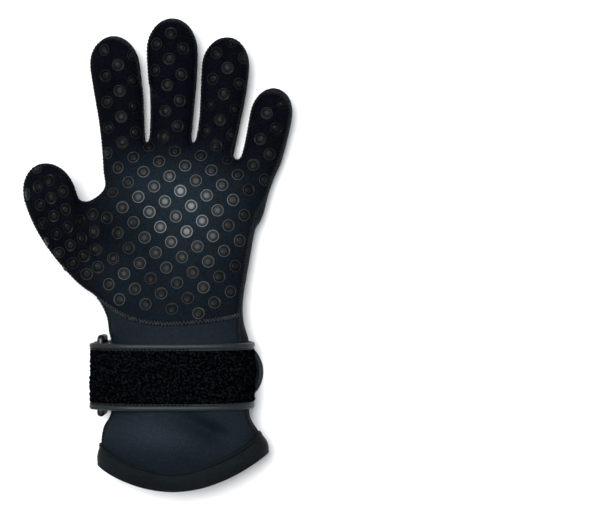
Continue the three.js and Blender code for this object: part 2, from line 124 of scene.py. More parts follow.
# %% Points and faces into a piece
def piece(name, points, faces, material, replaces=()):
    """A mesh object at the origin from points in millimetres and a list of face arrays."""
    mesh = bpy.data.meshes.new(name)
    groups = [np.asarray(group) for group in faces if len(group)]
    corners = np.concatenate([group.ravel() for group in groups])
    sizes = np.concatenate([np.full(len(group), group.shape[1]) for group in groups])
    mesh.vertices.add(len(points))
    mesh.vertices.foreach_set("co", (np.asarray(points, float) * MM).ravel())
    mesh.loops.add(len(corners))
    mesh.loops.foreach_set("vertex_index", corners.astype(np.int32))
    mesh.polygons.add(len(sizes))
    starts = np.concatenate([[0], np.cumsum(sizes)[:-1]]).astype(np.int32)
    mesh.polygons.foreach_set("loop_start", starts)
    mesh.polygons.foreach_set("use_smooth", np.ones(len(sizes), bool))
    mesh.update(calc_edges=True)
    mesh.validate()
    mesh.materials.append(material)
    made = bpy.data.objects.new(name, mesh)
    bpy.context.scene.collection.objects.link(made)
    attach(made, "root")
    if replaces:
        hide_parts(*replaces)
    print(f"{name}: {len(points)} points, {len(sizes)} faces")
    return made


def grid_faces(rows, columns, around=False, looped=False):
    """Quads between neighbours on a grid of rows by columns, which may close on itself across
    (around) and from its last row to its first (looped)."""
    row = np.arange(rows if looped else rows - 1)[:, None]
    below = (row + 1) % rows * columns
    down = row * columns
    across = np.arange(columns if around else columns - 1)[None, :]
    beside = (across + 1) % columns
    corner = [down + across, down + beside, below + beside, below + across]
    return np.stack(np.broadcast_arrays(*corner), axis=-1).reshape(-1, 4)


def cap_faces(columns, first_row, pole, reverse):
    """A fan of triangles from the ring of points that starts at first_row to a pole."""
    ring = first_row + np.arange(columns)
    fan = np.stack([ring, np.roll(ring, -1), np.full(columns, pole)], axis=1)
    return fan[:, ::-1] if reverse else fan


def closed_tube(rings):
    """Points and faces of a tube through rings[row, side], with a fan to a pole at each end."""
    rows, sides = rings.shape[:2]
    ends = rings[[0, -1]].mean(axis=1)
    points = np.concatenate([rings.reshape(-1, 3), ends])
    first, last = rows * sides, rows * sides + 1
    return points, [
        grid_faces(rows, sides, around=True),
        cap_faces(sides, 0, first, reverse=True),
        cap_faces(sides, (rows - 1) * sides, last, reverse=False),
    ]


def outward(points, faces):
    """The same faces, turned round if the closed shape that they make has a negative volume."""
    volume = 0.0
    for group in faces:
        a, b, c = (points[group[:, k]] for k in (0, 1, 2))
        volume += np.einsum("ij,ij->i", a, np.cross(b, c)).sum()
        if group.shape[1] == 4:
            d = points[group[:, 3]]
            volume += np.einsum("ij,ij->i", a, np.cross(c, d)).sum()
    return faces if volume > 0 else [group[:, ::-1] for group in faces]


def closed_piece(name, shape, material, replaces=()):
    """A piece from the points and faces of a closed shape, with its points measured from the wrist
    seam's origin and its faces turned outward."""
    points, faces = shape
    return piece(name, points + ORIGIN, outward(points, faces), material, replaces)


def repeated(shape, faces, origins, axes):
    """One small shape set down at each origin: a point is the origin plus the shape's point turned
    into the three axes there."""
    points = origins[:, None, :] + np.einsum("pk,nkc->npc", shape, axes)
    offsets = np.arange(len(origins))[:, None, None] * len(shape)
    placed = [(group[None] + offsets).reshape(-1, group.shape[1]) for group in faces]
    return points.reshape(-1, 3), placed


def smooth_step(value):
    """0 below 0, 1 above 1, and 3t^2 - 2t^3 between."""
    t = np.clip(value, 0, 1)
    return t * t * (3 - 2 * t)


def unit(vectors):
    """Each vector divided by its own length."""
    return vectors / np.maximum(np.linalg.norm(vectors, axis=-1, keepdims=True), 1e-9)


def arc_lengths(points):
    """The distance along a path at each of its points."""
    return np.concatenate([[0], np.cumsum(np.linalg.norm(np.diff(points, axis=0), axis=1))])


def read_at(at, source, values):
    """Each column of values, known at source, read at other places in straight lines."""
    return np.stack([np.interp(at, source, column) for column in values.T], axis=1)


def spaced(points, step):
    """The same path with its points evenly spaced by arc length, about step apart."""
    length = arc_lengths(points)
    at = np.linspace(0, length[-1], max(int(round(length[-1] / step)), 2) + 1)
    return read_at(at, length, points)


def tangents(path):
    """The direction of a path at each of its points."""
    return unit(np.gradient(path, axis=0))


def eased(points, passes):
    """Each inner point moved half way to the middle of its neighbours, several times."""
    points = points.copy()
    for _ in range(passes):
        points[1:-1] = (points[:-2] + 2 * points[1:-1] + points[2:]) / 4
    return points


print("helpers ready")

# %% [markdown]
# ## Materials
#
# The neoprene's face is a fine jersey knit of nylon: rows of tiny loops that catch the light a
# little on their crowns, over a black foam. All cloths share one node group for the knit and one
# for soft uneven fading. Both read Object coordinates, so nothing slides in another view, and the
# shader itself stays in each material, where the export can read it.

# %% Node groups for knit, unevenness and fibre
def node_group(name, inputs, outputs):
    """An empty shader group with named value, colour or vector sockets."""
    group = bpy.data.node_groups.new(name, "ShaderNodeTree")
    for label, kind, default in inputs:
        socket = group.interface.new_socket(label, in_out="INPUT", socket_type=f"NodeSocket{kind}")
        if default is not None:
            socket.default_value = default
    for label, kind in outputs:
        group.interface.new_socket(label, in_out="OUTPUT", socket_type=f"NodeSocket{kind}")
    into = group.nodes.new("NodeGroupInput")
    out = group.nodes.new("NodeGroupOutput")
    return group, into, out


def add_node(tree, kind, settings=None, **values):
    """A node with its settings, and a value or a link for each named input."""
    made = tree.nodes.new(f"ShaderNode{kind}")
    for key, value in (settings or {}).items():
        setattr(made, key, value)
    for key, value in values.items():
        by_number = key.startswith("in")
        socket = made.inputs[int(key[2:])] if by_number else made.inputs[key.replace("_", " ")]
        if isinstance(value, bpy.types.NodeSocket):
            tree.links.new(value, socket)
        else:
            socket.default_value = value
    return made


def math_of(tree, operation, *values, clamp=False):
    """The output of a Math node whose inputs are the values or links, in order."""
    inputs = {f"in{k}": value for k, value in enumerate(values)}
    return add_node(tree, "Math", {"operation": operation, "use_clamp": clamp}, **inputs).outputs[0]


def noise_between(tree, low, high, **values):
    """A noise stretched so that it is 0 at low and 1 at high."""
    noise = add_node(tree, "TexNoise", **values)
    stretched = add_node(tree, "MapRange", Value=noise.outputs["Fac"], From_Min=low, From_Max=high)
    return stretched.outputs[0]


def knit_group():
    """Ribs of loops: a sine across the wales times a sine along the courses, bent by noise."""
    group, into, out = node_group(
        "jersey_knit",
        [("Loop size mm", "Float", 0.7), ("Depth", "Float", 0.5), ("Direction", "Float", 0.0)],
        [("Mask", "Float"), ("Normal", "Vector")],
    )
    where = add_node(group, "TexCoord").outputs["Object"]
    turned = add_node(
        group, "VectorRotate", {"rotation_type": "Z_AXIS"},
        Vector=where, Angle=into.outputs["Direction"],
    )
    per_metre = math_of(group, "DIVIDE", 1000.0, into.outputs["Loop size mm"])
    scaled = add_node(
        group, "VectorMath", {"operation": "SCALE"}, in0=turned.outputs[0], Scale=per_metre
    ).outputs[0]
    bend = add_node(group, "TexNoise", Vector=scaled, Scale=0.35, Detail=1.0)
    bands = []
    for direction, scale, distortion in (("X", 0.5, 0.6), ("DIAGONAL", 0.7, 1.2)):
        wave = add_node(
            group, "TexWave", {"wave_type": "BANDS", "bands_direction": direction},
            Vector=scaled, Scale=scale, Distortion=distortion, Detail=0.0,
        )
        bands.append(wave.outputs["Color"])
    both = math_of(group, "MULTIPLY", *bands)
    mixed = math_of(group, "MULTIPLY_ADD", bend.outputs["Fac"], 0.6, both)
    bump = add_node(group, "Bump", Strength=into.outputs["Depth"], Distance=0.00025, Height=mixed)
    group.links.new(mixed, out.inputs["Mask"])
    group.links.new(bump.outputs[0], out.inputs["Normal"])
    return group


def fading_group():
    """Three noises: soft blotches of centimetres, specks of lint, and a fine nap."""
    group, into, out = node_group(
        "uneven_fading",
        [("Blotch mm", "Float", 25.0), ("Lint", "Float", 0.2)],
        [("Fading", "Float"), ("Lint", "Float"), ("Grain", "Float")],
    )
    where = add_node(group, "TexCoord").outputs["Object"]
    scale = math_of(group, "DIVIDE", 1000.0, into.outputs["Blotch mm"])
    blotches = noise_between(
        group, 0.3, 0.7, Vector=where, Scale=scale, Detail=3.0, Roughness=0.55
    )
    specks = noise_between(group, 0.62, 0.78, Vector=where, Scale=1500.0, Detail=2.0)
    grain = noise_between(
        group, 0.36, 0.64, Vector=where, Scale=850.0, Detail=2.5, Roughness=0.6
    )
    group.links.new(blotches, out.inputs["Fading"])
    group.links.new(math_of(group, "MULTIPLY", specks, into.outputs["Lint"]), out.inputs["Lint"])
    group.links.new(grain, out.inputs["Grain"])
    return group


KNIT = knit_group()
FADING = fading_group()
print("node groups:", KNIT.name, FADING.name)


# %% The cloth materials
# The point attribute that carries painted sheen, painted light and painted shade on the palm, the
# cuff and the print
LIGHT_ATTRIBUTE = "wear"
# How much of the light colour the crowns of the loops and the nap bring
LOOP_SHARE, NAP_SHARE = 0.3, 0.5
# Under painted sheen or painted light, the cloth's colour between and on the loops, as shares of its
# lit colour
LIT_DARK, LIT_LIGHT = 0.6, 1.5
CLOTH_SHEEN = (0.72, 0.88, 1, 1)


def new_material(name):
    """A material, its node tree and its shader."""
    material = bpy.data.materials.new(name)
    material.use_nodes = True
    return material, material.node_tree, material.node_tree.nodes["Principled BSDF"]


def add_group(tree, group, **values):
    """One of the shared node groups, with a value for each named input."""
    made = tree.nodes.new("ShaderNodeGroup")
    made.node_tree = group
    for key, value in values.items():
        made.inputs[key.replace("_", " ")].default_value = value
    return made


def colour_between(tree, factor, dark, light):
    """The output of a node that mixes from dark to light, each a colour or another output."""
    mix = add_node(tree, "Mix", {"data_type": "RGBA"}, Factor=factor)
    for socket, colour in zip(mix.inputs[6:8], (dark, light)):
        if isinstance(colour, bpy.types.NodeSocket):
            tree.links.new(colour, socket)
        else:
            socket.default_value = (*colour, 1)
    return mix.outputs[2]


def lit_over(tree, colour, lit_tone):
    """The colour, going over to the painted light's colour as the piece's painted-light attribute
    goes to 1.
    """
    wear = add_node(tree, "Attribute", {"attribute_name": LIGHT_ATTRIBUTE}).outputs["Fac"]
    return colour_between(tree, wear, colour, lit_tone)


def cloth(name, dark, light, roughness, specular, knit, depth,
          direction=0.0, blotch=25.0, mottle=0.22, lint=0.2, lit_colour=None):
    """Knitted cloth: dark between the loops, light on their crowns and where it has faded. The last
    argument is the colour of a painted sheen or painted light, which the cloth has where the piece's
    painted-light attribute is 1."""
    material, tree, shader = new_material(name)
    loops = add_group(tree, KNIT, Loop_size_mm=knit, Depth=depth, Direction=direction)
    fading = add_group(tree, FADING, Blotch_mm=blotch, Lint=lint)
    share = math_of(tree, "MULTIPLY_ADD", loops.outputs["Mask"], LOOP_SHARE, 0.0)
    share = math_of(tree, "MULTIPLY_ADD", fading.outputs["Fading"], mottle, share)
    share = math_of(tree, "MULTIPLY_ADD", fading.outputs["Grain"], NAP_SHARE, share)
    share = math_of(tree, "ADD", share, fading.outputs["Lint"], clamp=True)
    colour = colour_between(tree, share, dark, light)
    if lit_colour is not None:
        lit_colour = np.array(lit_colour)
        lit_tone = colour_between(tree, share, LIT_DARK * lit_colour, LIT_LIGHT * lit_colour)
        colour = lit_over(tree, colour, lit_tone)
    tree.links.new(colour, shader.inputs["Base Color"])
    tree.links.new(loops.outputs["Normal"], shader.inputs["Normal"])
    shader.inputs["Roughness"].default_value = roughness
    shader.inputs["Specular IOR Level"].default_value = specular
    shader.inputs["Specular Tint"].default_value = CLOTH_SHEEN
    return material


# The palm's last colour is a painted sheen, which the palm panel's painted-light attribute brings in
# towards its middle
PALM_CLOTH = cloth(
    "palm_knit", (0.0001, 0.0002, 0.0005), (0.0034, 0.004, 0.007), 0.9, 0.015, 0.75, 0.45,
    lit_colour=(0.0082, 0.013, 0.0175),
)
BACK_CLOTH = cloth(
    "back_knit", (0.0008, 0.0016, 0.0027), (0.0055, 0.0078, 0.0115), 0.7, 0.05, 0.7, 0.45,
    direction=1.57,
)
# The cuff's last colour is a painted light where it bulges. Along its fold the attribute is lowered,
# which paints shade
CUFF_CLOTH = cloth(
    "cuff_knit", (0.0011, 0.002, 0.0034), (0.004, 0.0062, 0.0092), 0.65, 0.05, 0.7, 0.45,
    direction=1.57, lit_colour=(0.0122, 0.0178, 0.0245),
)
HEM_CLOTH = cloth(
    "hem_knit", (0.0008, 0.0013, 0.0016), (0.0062, 0.0082, 0.0094), 0.6, 0.07, 1.1, 0.7, lint=0.3
)
WEB_CLOTH = cloth(
    "webbing_weave", (0.003, 0.004, 0.005), (0.012, 0.014, 0.016), 0.65, 0.15, 1.6, 0.9,
    direction=0.8,
)
PILE_CLOTH = cloth(
    "loop_pile", (0.0001, 0.0001, 0.0001), (0.0165, 0.0205, 0.0255), 0.95, 0.0, 0.5, 1.0,
    blotch=1.5, mottle=-0.7, lint=0.9,
)
TAPE_CLOTH = cloth(
    "binding_tape", (0.0085, 0.0102, 0.0108), (0.015, 0.0175, 0.0185), 0.4, 0.2, 0.45, 0.2, lint=0.1
)
THREAD = cloth(
    "sewing_thread", (0.0012, 0.0013, 0.0018), (0.005, 0.006, 0.007), 0.6, 0.1, 0.5, 0.6
)
RIDGE_CLOTH = cloth(
    "seam_ridge", (0.0012, 0.0018, 0.0024), (0.0085, 0.0105, 0.012), 0.6, 0.06, 0.6, 0.5, lint=0.3
)
SEAM_THREAD = cloth(
    "overlock_thread", (0.003, 0.004, 0.005), (0.055, 0.062, 0.066), 0.7, 0.1, 0.5, 0.6, lint=0.4
)
CLOTHS = (
    PALM_CLOTH, BACK_CLOTH, CUFF_CLOTH, HEM_CLOTH, WEB_CLOTH, PILE_CLOTH, TAPE_CLOTH, THREAD,
    RIDGE_CLOTH, SEAM_THREAD,
)
print("cloths:", [material.name for material in CLOTHS])


# %% The smooth materials: silicone print, ring plastic and the floor
def smooth_finish(name, dark, light, roughness, specular, grain_mm, grain_depth, lit_colour=None):
    """A moulded or printed surface: faint mottling, and a fine grain in its normal. The last argument
    is the colour of a painted highlight, which the surface has where the piece's painted-light
    attribute is 1."""
    material, tree, shader = new_material(name)
    fading = add_group(tree, FADING, Blotch_mm=8.0)
    where = add_node(tree, "TexCoord").outputs["Object"]
    grain = add_node(tree, "TexNoise", Vector=where, Scale=1000.0 / grain_mm, Detail=3.0)
    height = grain.outputs["Fac"]
    bump = add_node(tree, "Bump", Strength=grain_depth, Distance=0.0001, Height=height)
    uneven = add_node(
        tree, "MapRange", Value=height, To_Min=roughness - 0.06, To_Max=roughness + 0.08
    )
    colour = colour_between(tree, fading.outputs["Fading"], dark, light)
    if lit_colour is not None:
        colour = lit_over(tree, colour, lit_colour)
    tree.links.new(colour, shader.inputs["Base Color"])
    tree.links.new(uneven.outputs[0], shader.inputs["Roughness"])
    tree.links.new(bump.outputs[0], shader.inputs["Normal"])
    shader.inputs["Specular IOR Level"].default_value = specular
    return material


# The print's last colour is a painted highlight on the pads, which their painted-light attribute
# brings in
PRINT = smooth_finish(
    "silicone_print", (0.0004, 0.0005, 0.0007), (0.001, 0.0012, 0.0016), 0.34, 0.04, 1.5, 0.3,
    lit_colour=(0.125, 0.138, 0.145),
)
PLASTIC = smooth_finish(
    "moulded_ring", (0.003, 0.003, 0.0035), (0.006, 0.006, 0.007), 0.35, 0.35, 0.6, 0.25
)
FLOOR = smooth_finish("pale_table", (0.86, 0.87, 0.88), (0.89, 0.9, 0.9), 0.6, 0.2, 3.0, 0.05)
print("smooth finishes:", PRINT.name, PLASTIC.name, FLOOR.name)

# %% [markdown]
# ## Floor
#
# A plain pale table, larger than any view of the glove. It is staged, so it isn't part of it.

# %% Floor
FLOOR_HALF = 3000.0


def floor():
    corners = np.array([[-1, -1, 0], [1, -1, 0], [1, 1, 0], [-1, 1, 0]]) * FLOOR_HALF
    mesh = bpy.data.meshes.new("floor")
    mesh.from_pydata((corners * MM - [0, 0, 0.2 * MM]).tolist(), [], [[0, 1, 2, 3]])
    mesh.materials.append(FLOOR)
    made = bpy.data.objects.new("floor", mesh)
    bpy.context.scene.collection.objects.link(made)
    return made


floor()
print("floor", 2 * FLOOR_HALF * MM, "m wide")

# %% [markdown]
# ## The hand's sizes
#
# These are the CAD model's named sizes and tables, in millimetres. Its palm and cuff are one tube
# through rounded sections, and each digit is a tube along a bent axis. They are carried smoothly
# from section to section here, instead of in facets. A few were brought closer to the photograph
# afterwards and differ from the CAD model: the hem's curve (1.6 there), the rows of the ring and
# little fingers, the height of the side seams, and the strap's place and width.

# %% Sizes shared with the CAD model
PALM_WIDTH, PALM_LENGTH, PALM_DEPTH = 100, 105, 38
CUFF_LENGTH, CUFF_WIDTH, CUFF_DEPTH = 83, 103.4, 40
HEM_DROOP, BACK_DROOP, HEM_SLANT, HEM_CURVE = 17.5, 6, 7.3, 1.95
FINGER_LENGTH, FINGER_WIDTH, FINGER_DEPTH = 100, 30.2, 22.5
WALL, FIT_GAP = 3, 0.3
HEM_TAPE_WIDTH, HEM_TAPE_THICKNESS = 13, 0.8
STRAP_HEIGHT, STRAP_BELOW_SEAM, PILE_THICKNESS = 39, 33.3, 1.1
EDGING_WIDTH, EDGING_THICKNESS = 4.2, 3
TAB_REACH, STRAP_SLACK, FOLD_SLACK, SEWN_END = 8, 6, 1.5, 10
RING_THICKNESS, RING_HEIGHT, RING_PLAY = 4.2, 21.2, 1
SQUARENESS, TIP_ROUNDNESS = 2.3, 0.64

LAYER = EDGING_THICKNESS + FIT_GAP
RING_LENGTH = STRAP_HEIGHT + 2 * (RING_PLAY + RING_THICKNESS)
STRAP_Y = -STRAP_BELOW_SEAM
RING_TOP = STRAP_Y + RING_LENGTH / 2
RING_BOTTOM = STRAP_Y - RING_LENGTH / 2
HEM_Y = -CUFF_LENGTH
HEM_SKIN = FIT_GAP + HEM_TAPE_THICKNESS

# Columns: up, thumb, little, height, front, back, dip, web, as shares of the palm's sizes
PALM_ROWS = np.array([
    (1.03, -0.34, 0.2, 0.43, 0.2, 0.22, 0, 0),
    (1.0, -0.4, 0.29, 0.43, 0.28, 0.3, 0, 0),
    (0.95, -0.425, 0.34, 0.44, 0.34, 0.36, 0.01, 0),
    (0.89, -0.43, 0.5, 0.46, 0.39, 0.42, 0.03, 0),
    (0.85, -0.43, 0.585, 0.47, 0.42, 0.46, 0.05, 0),
    (0.77, -0.435, 0.59, 0.49, 0.46, 0.51, 0.08, 0.02),
    (0.715, -0.475, 0.55, 0.5, 0.47, 0.52, 0.1, 0.08),
    (0.69, -0.555, 0.538, 0.505, 0.48, 0.525, 0.1, 0.2),
    (0.65, -0.61, 0.516, 0.51, 0.48, 0.53, 0.11, 0.28),
    (0.5, -0.59, 0.475, 0.53, 0.49, 0.55, 0.12, 0.26),
    (0.36, -0.54, 0.45, 0.55, 0.5, 0.56, 0.1, 0.18),
    (0.22, -0.5, 0.425, 0.59, 0.5, 0.55, 0.06, 0.08),
    (0.14, -0.475, 0.412, 0.63, 0.5, 0.54, 0.04, 0.03),
    (0.07, -0.432, 0.408, 0.66, 0.51, 0.54, 0.02, 0),
    (0.0, -0.404, 0.414, 0.7, 0.52, 0.54, 0, 0),
])
# Columns: down as a share of the way from the ring to the hem, then as above, of the cuff's sizes
CUFF_ROWS = np.array([
    (0.14, -0.425, 0.457, 0.65, 0.52, 0.53, 0, 0),
    (0.4, -0.436, 0.49, 0.6, 0.51, 0.545, 0, 0),
    (0.7, -0.445, 0.523, 0.56, 0.495, 0.55, 0, 0),
    (1, -0.457, 0.543, 0.54, 0.48, 0.54, 0, 0),
])
WRIST_ROW = np.array([0.8, -0.412, 0.432, 0.71, 0.53, 0.53, 0, 0])
STRAP_THUMB, STRAP_LITTLE = -0.386 * PALM_WIDTH, 0.449 * PALM_WIDTH
STRAP_FRONT, STRAP_BACK = 0.54 * PALM_DEPTH, 0.527 * PALM_DEPTH
STRAP_Z = STRAP_BACK + 2 * LAYER + 2 * FIT_GAP

# The model's seam origin in the frame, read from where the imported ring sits
ring_low, ring_high = (np.array(corner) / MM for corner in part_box("strap_ring"))
RING_X = STRAP_THUMB - LAYER - FIT_GAP - RING_THICKNESS / 2
ORIGIN = np.array([
    (ring_low[0] + ring_high[0]) / 2 - RING_X,
    (ring_low[1] + ring_high[1]) / 2 - STRAP_Y,
    0,
])
print("wrist seam's origin in the frame, mm:", ORIGIN.round(2))

# %% Sections of the palm and cuff
PER_ROW = np.array([PALM_LENGTH, PALM_WIDTH, PALM_WIDTH] + [PALM_DEPTH] * 5)
PER_CUFF = np.array([1, CUFF_WIDTH, CUFF_WIDTH] + [CUFF_DEPTH] * 5)
PER_WRIST = np.array([RING_TOP, PALM_WIDTH, PALM_WIDTH] + [PALM_DEPTH] * 5)
strap_section = np.array([0, STRAP_THUMB, STRAP_LITTLE, STRAP_Z, STRAP_FRONT, STRAP_BACK, 0, 0])
cuff_sections = CUFF_ROWS * PER_CUFF
cuff_sections[:, 0] = RING_BOTTOM + CUFF_ROWS[:, 0] * (HEM_Y - RING_BOTTOM)
SECTIONS = np.vstack([
    PALM_ROWS * PER_ROW,
    WRIST_ROW * PER_WRIST,
    [RING_TOP, *strap_section[1:]],
    [RING_BOTTOM, *strap_section[1:]],
    cuff_sections,
])[::-1]
EASE_STEP, EASE_PASSES = 1.0, 14
PAST_ENDS = 30


def eased_sections():
    """The sections sampled every millimetre along the hand and smoothed, from hem to fingers."""
    at = np.arange(SECTIONS[0, 0] - PAST_ENDS, SECTIONS[-1, 0] + EASE_STEP, EASE_STEP)
    table = np.stack([np.interp(at, SECTIONS[:, 0], SECTIONS[:, k]) for k in range(1, 8)], axis=1)
    return at, eased(table, EASE_PASSES)


SECTION_AT, SECTION_TABLE = eased_sections()


def section(y):
    """thumb, little, z, front, back, dip and web at each height y, as a list of arrays."""
    return [np.interp(y, SECTION_AT, SECTION_TABLE[:, k]) for k in range(7)]


def power(value):
    """The superellipse's rounding: the value to the power 2 / squareness, with its sign kept."""
    return np.sign(value) * np.abs(value) ** (2 / SQUARENESS)


def hem_share(y):
    """0 at the strap's ring and above, and 1 at the hem."""
    return smooth_step((RING_BOTTOM - y) / (RING_BOTTOM - HEM_Y))


def hem_hang(across, front):
    """How far the hem hangs: deepest in the middle, more on the palm side, and slanted."""
    drop = np.where(front, HEM_DROOP, BACK_DROOP)
    return drop * (1 - np.abs(across) ** HEM_CURVE) - HEM_SLANT / 2 * across


def hand_surface(y, turn, out=0.0):
    """The palm and cuff: a superellipse whose half-width and depth change along y, moved outwards
    by out. The palm's hollow, dip * exp(-(2 cos turn)^2), is taken off its height, the rise to the
    thumb, web * across^2, is added on the thumb's side, and nothing goes below the floor."""
    thumb, little, z, front, back, dip, web = section(y)
    across, upward = power(np.cos(turn)), power(np.sin(turn))
    on_front = np.sin(turn) > 0
    depth = np.where(on_front, front, back) + out
    hollow = np.where(on_front, dip * np.exp(-((2 * np.cos(turn)) ** 2)), 0)
    rise = web * np.minimum(across, 0) ** 2
    floor_z = np.maximum(HEM_SKIN * np.minimum(1, 2 * hem_share(y)) - out, 0)
    x = (thumb + little) / 2 + ((little - thumb) / 2 + out) * across
    return np.stack([
        x,
        y - hem_share(y) * hem_hang(across, on_front),
        np.maximum(z + depth * upward + rise - hollow, floor_z),
    ], axis=-1)


HAND_ROWS, SIDES_ROUND_HAND, PAST_HEM = 190, 120, 20


def hand_tube():
    """The hand's surface over rows of y and columns of turn, run on straight past the hem."""
    y = np.linspace(SECTIONS[-1, 0], HEM_Y, HAND_ROWS)[:, None]
    turn = np.linspace(0, 2 * np.pi, SIDES_ROUND_HAND, endpoint=False)[None, :]
    rings = hand_surface(y, turn)
    tail = rings[-1:] - np.array([0, PAST_HEM, 0])
    return closed_tube(np.concatenate([rings, tail]))


hand_points, hand_faces = hand_tube()
print("hand tube:", len(hand_points), "points")

# %% [markdown]
# ## The digits
#
# A finger of a sewn glove is a slack tube, wider towards its tip than at its root, with a round
# end. Each one is a superellipse carried along a quadratic curve from its root inside the palm.

# %% Digits as tubes along bent axes
# Columns: across, up, lean, bend, length, width, depth, waist, root, bow, tip
DIGITS = {
    "thumb": (-0.356, 0.212, -54.5, 50, 0.928, 1.0, 1.15, 0.9, 0.55, 0.88, 1.18),
    "index": (-0.309, 0.73, -2, -6, 0.98, 0.99, 1, 0.87, 0.47, 0.26, 0.7),
    "middle": (-0.068, 0.81, 6.8, -8.6, 1.003, 1.02, 1, 0.83, 0.46, 0.26, 0.72),
    "ring": (0.178, 0.8, 15.4, -13.3, 0.912, 0.95, 0.97, 0.84, 0.46, 0.26, 0.7),
    "little": (0.398, 0.61, 22.8, -15.6, 0.822, 0.85, 0.9, 0.93, 0.46, 0.28, 0.64),
}
# Columns: along the straight part, and full from the waist's width to the widest
OUTLINE = np.array([
    (0, -0.3), (0.2, 0), (0.45, 0.05), (0.6, 0.3), (0.75, 0.65), (0.9, 0.95), (1, 1),
])
STRAIGHT_ROWS, TIP_ROWS, DIGIT_SIDES = 60, 24, 56
FINE_STEPS = 400


def digit_axis(name, steps):
    """Points of the digit's axis at even steps of arc length: a quadratic curve whose two equal
    legs lean and then turn by bend, with its height going from root over bow to tip."""
    across, up, lean, bend, length, _, _, _, root, bow, tip = DIGITS[name]
    leg = length * FINGER_LENGTH / 2
    angles = np.radians([lean, lean + bend])
    start = np.array([across * PALM_WIDTH, up * PALM_LENGTH])
    middle = start + leg * np.array([np.sin(angles[0]), np.cos(angles[0])])
    end = middle + leg * np.array([np.sin(angles[1]), np.cos(angles[1])])
    a, b, c = (np.append(p, h * PALM_DEPTH) for p, h in zip((start, middle, end), (root, bow, tip)))
    t = np.linspace(0, 1, FINE_STEPS)[:, None]
    fine = (1 - t) ** 2 * a + 2 * t * (1 - t) * b + t**2 * c
    return spaced(fine, np.linalg.norm(np.diff(fine, axis=0), axis=1).sum() / steps)


def digit_tube(name):
    """Rings of a superellipse across the axis: the width follows the outline's table, the depth
    six tenths as strongly, and then a quarter turn closes both over the tip."""
    width = DIGITS[name][5] * FINGER_WIDTH
    depth = DIGITS[name][6] * FINGER_DEPTH
    waist = DIGITS[name][7]
    axis = digit_axis(name, FINE_STEPS)
    length = np.linspace(0, 1, len(axis)) * np.linalg.norm(np.diff(axis, axis=0), axis=1).sum()
    rounded = TIP_ROUNDNESS * width
    straight = length[-1] - rounded
    quarter = np.linspace(0, np.pi / 2, TIP_ROWS)[1:-1]
    at = np.concatenate([
        np.linspace(0, straight, STRAIGHT_ROWS), straight + rounded * np.sin(quarter),
    ])
    full = np.interp(np.linspace(0, 1, STRAIGHT_ROWS), OUTLINE[:, 0], OUTLINE[:, 1])
    full = eased(full[:, None], 20)[:, 0]
    share = np.concatenate([waist + (1 - waist) * full, np.ones(len(quarter))])
    taper = np.concatenate([np.ones(STRAIGHT_ROWS), np.cos(quarter)])
    centre = read_at(at, length, axis)
    along = unit(read_at(at, length, tangents(axis)))
    upward = unit(np.array([0, 0, 1]) - along * along[:, 2:])
    side = np.cross(along, upward)
    half_width = (width / 2 * share * taper)[:, None, None]
    half_depth = (depth / 2 * (0.4 + 0.6 * share) * taper)[:, None, None]
    turn = np.linspace(0, 2 * np.pi, DIGIT_SIDES, endpoint=False)[None, :, None]
    rings = (
        centre[:, None]
        + half_width * power(np.cos(turn)) * side[:, None]
        + half_depth * power(np.sin(turn)) * upward[:, None]
    )
    rings[..., 2] = np.maximum(rings[..., 2], 0)
    return closed_tube(rings)


tubes = [(hand_points, hand_faces)] + [digit_tube(name) for name in DIGITS]
print("digit tubes:", {name: len(tube[0]) for name, tube in zip(DIGITS, tubes[1:])})

# %% [markdown]
# ## One skin from six tubes
#
# Where the fingers meet the palm the real cloth runs over in soft webs, not in creases. A voxel
# remesh makes one closed skin of the six tubes, and a little smoothing rounds the webs.

# %% Join, remesh and smooth the skin
VOXEL_MM = 1.3
SMOOTH_PASSES = 9


def mesh_arrays(source):
    """Points in millimetres and triangles of an object after its modifiers."""
    graph = bpy.context.evaluated_depsgraph_get()
    evaluated = source.evaluated_get(graph)
    mesh = evaluated.to_mesh()
    mesh.calc_loop_triangles()
    points = np.empty(len(mesh.vertices) * 3)
    mesh.vertices.foreach_get("co", points)
    triangles = np.empty(len(mesh.loop_triangles) * 3, dtype=np.int32)
    mesh.loop_triangles.foreach_get("vertices", triangles)
    evaluated.to_mesh_clear()
    return points.reshape(-1, 3) / MM, triangles.reshape(-1, 3)


def plain_object(name, points, faces):
    """A bare mesh object for a modifier to work on, which is deleted when it has been read."""
    mesh = bpy.data.meshes.new(name)
    mesh.from_pydata((points * MM).tolist(), [], [f for group in faces for f in group.tolist()])
    made = bpy.data.objects.new(name, mesh)
    bpy.context.scene.collection.objects.link(made)
    return made


def one_skin():
    """All tubes in one mesh, voxel remeshed, then smoothed."""
    offset, points, faces = 0, [], []
    for tube_points, tube_faces in tubes:
        tube_faces = outward(tube_points, tube_faces)
        points.append(tube_points)
        faces += [group + offset for group in tube_faces]
        offset += len(tube_points)
    joined = plain_object("skin_work", np.concatenate(points), faces)
    remesh = joined.modifiers.new("voxels", "REMESH")
    remesh.mode = "VOXEL"
    remesh.voxel_size = VOXEL_MM * MM
    ease = joined.modifiers.new("ease", "SMOOTH")
    ease.factor = 0.5
    ease.iterations = SMOOTH_PASSES
    skin = mesh_arrays(joined)
    bpy.data.objects.remove(joined)
    return skin


skin_points, skin_faces = one_skin()
print("skin:", len(skin_points), "points,", len(skin_faces), "triangles")

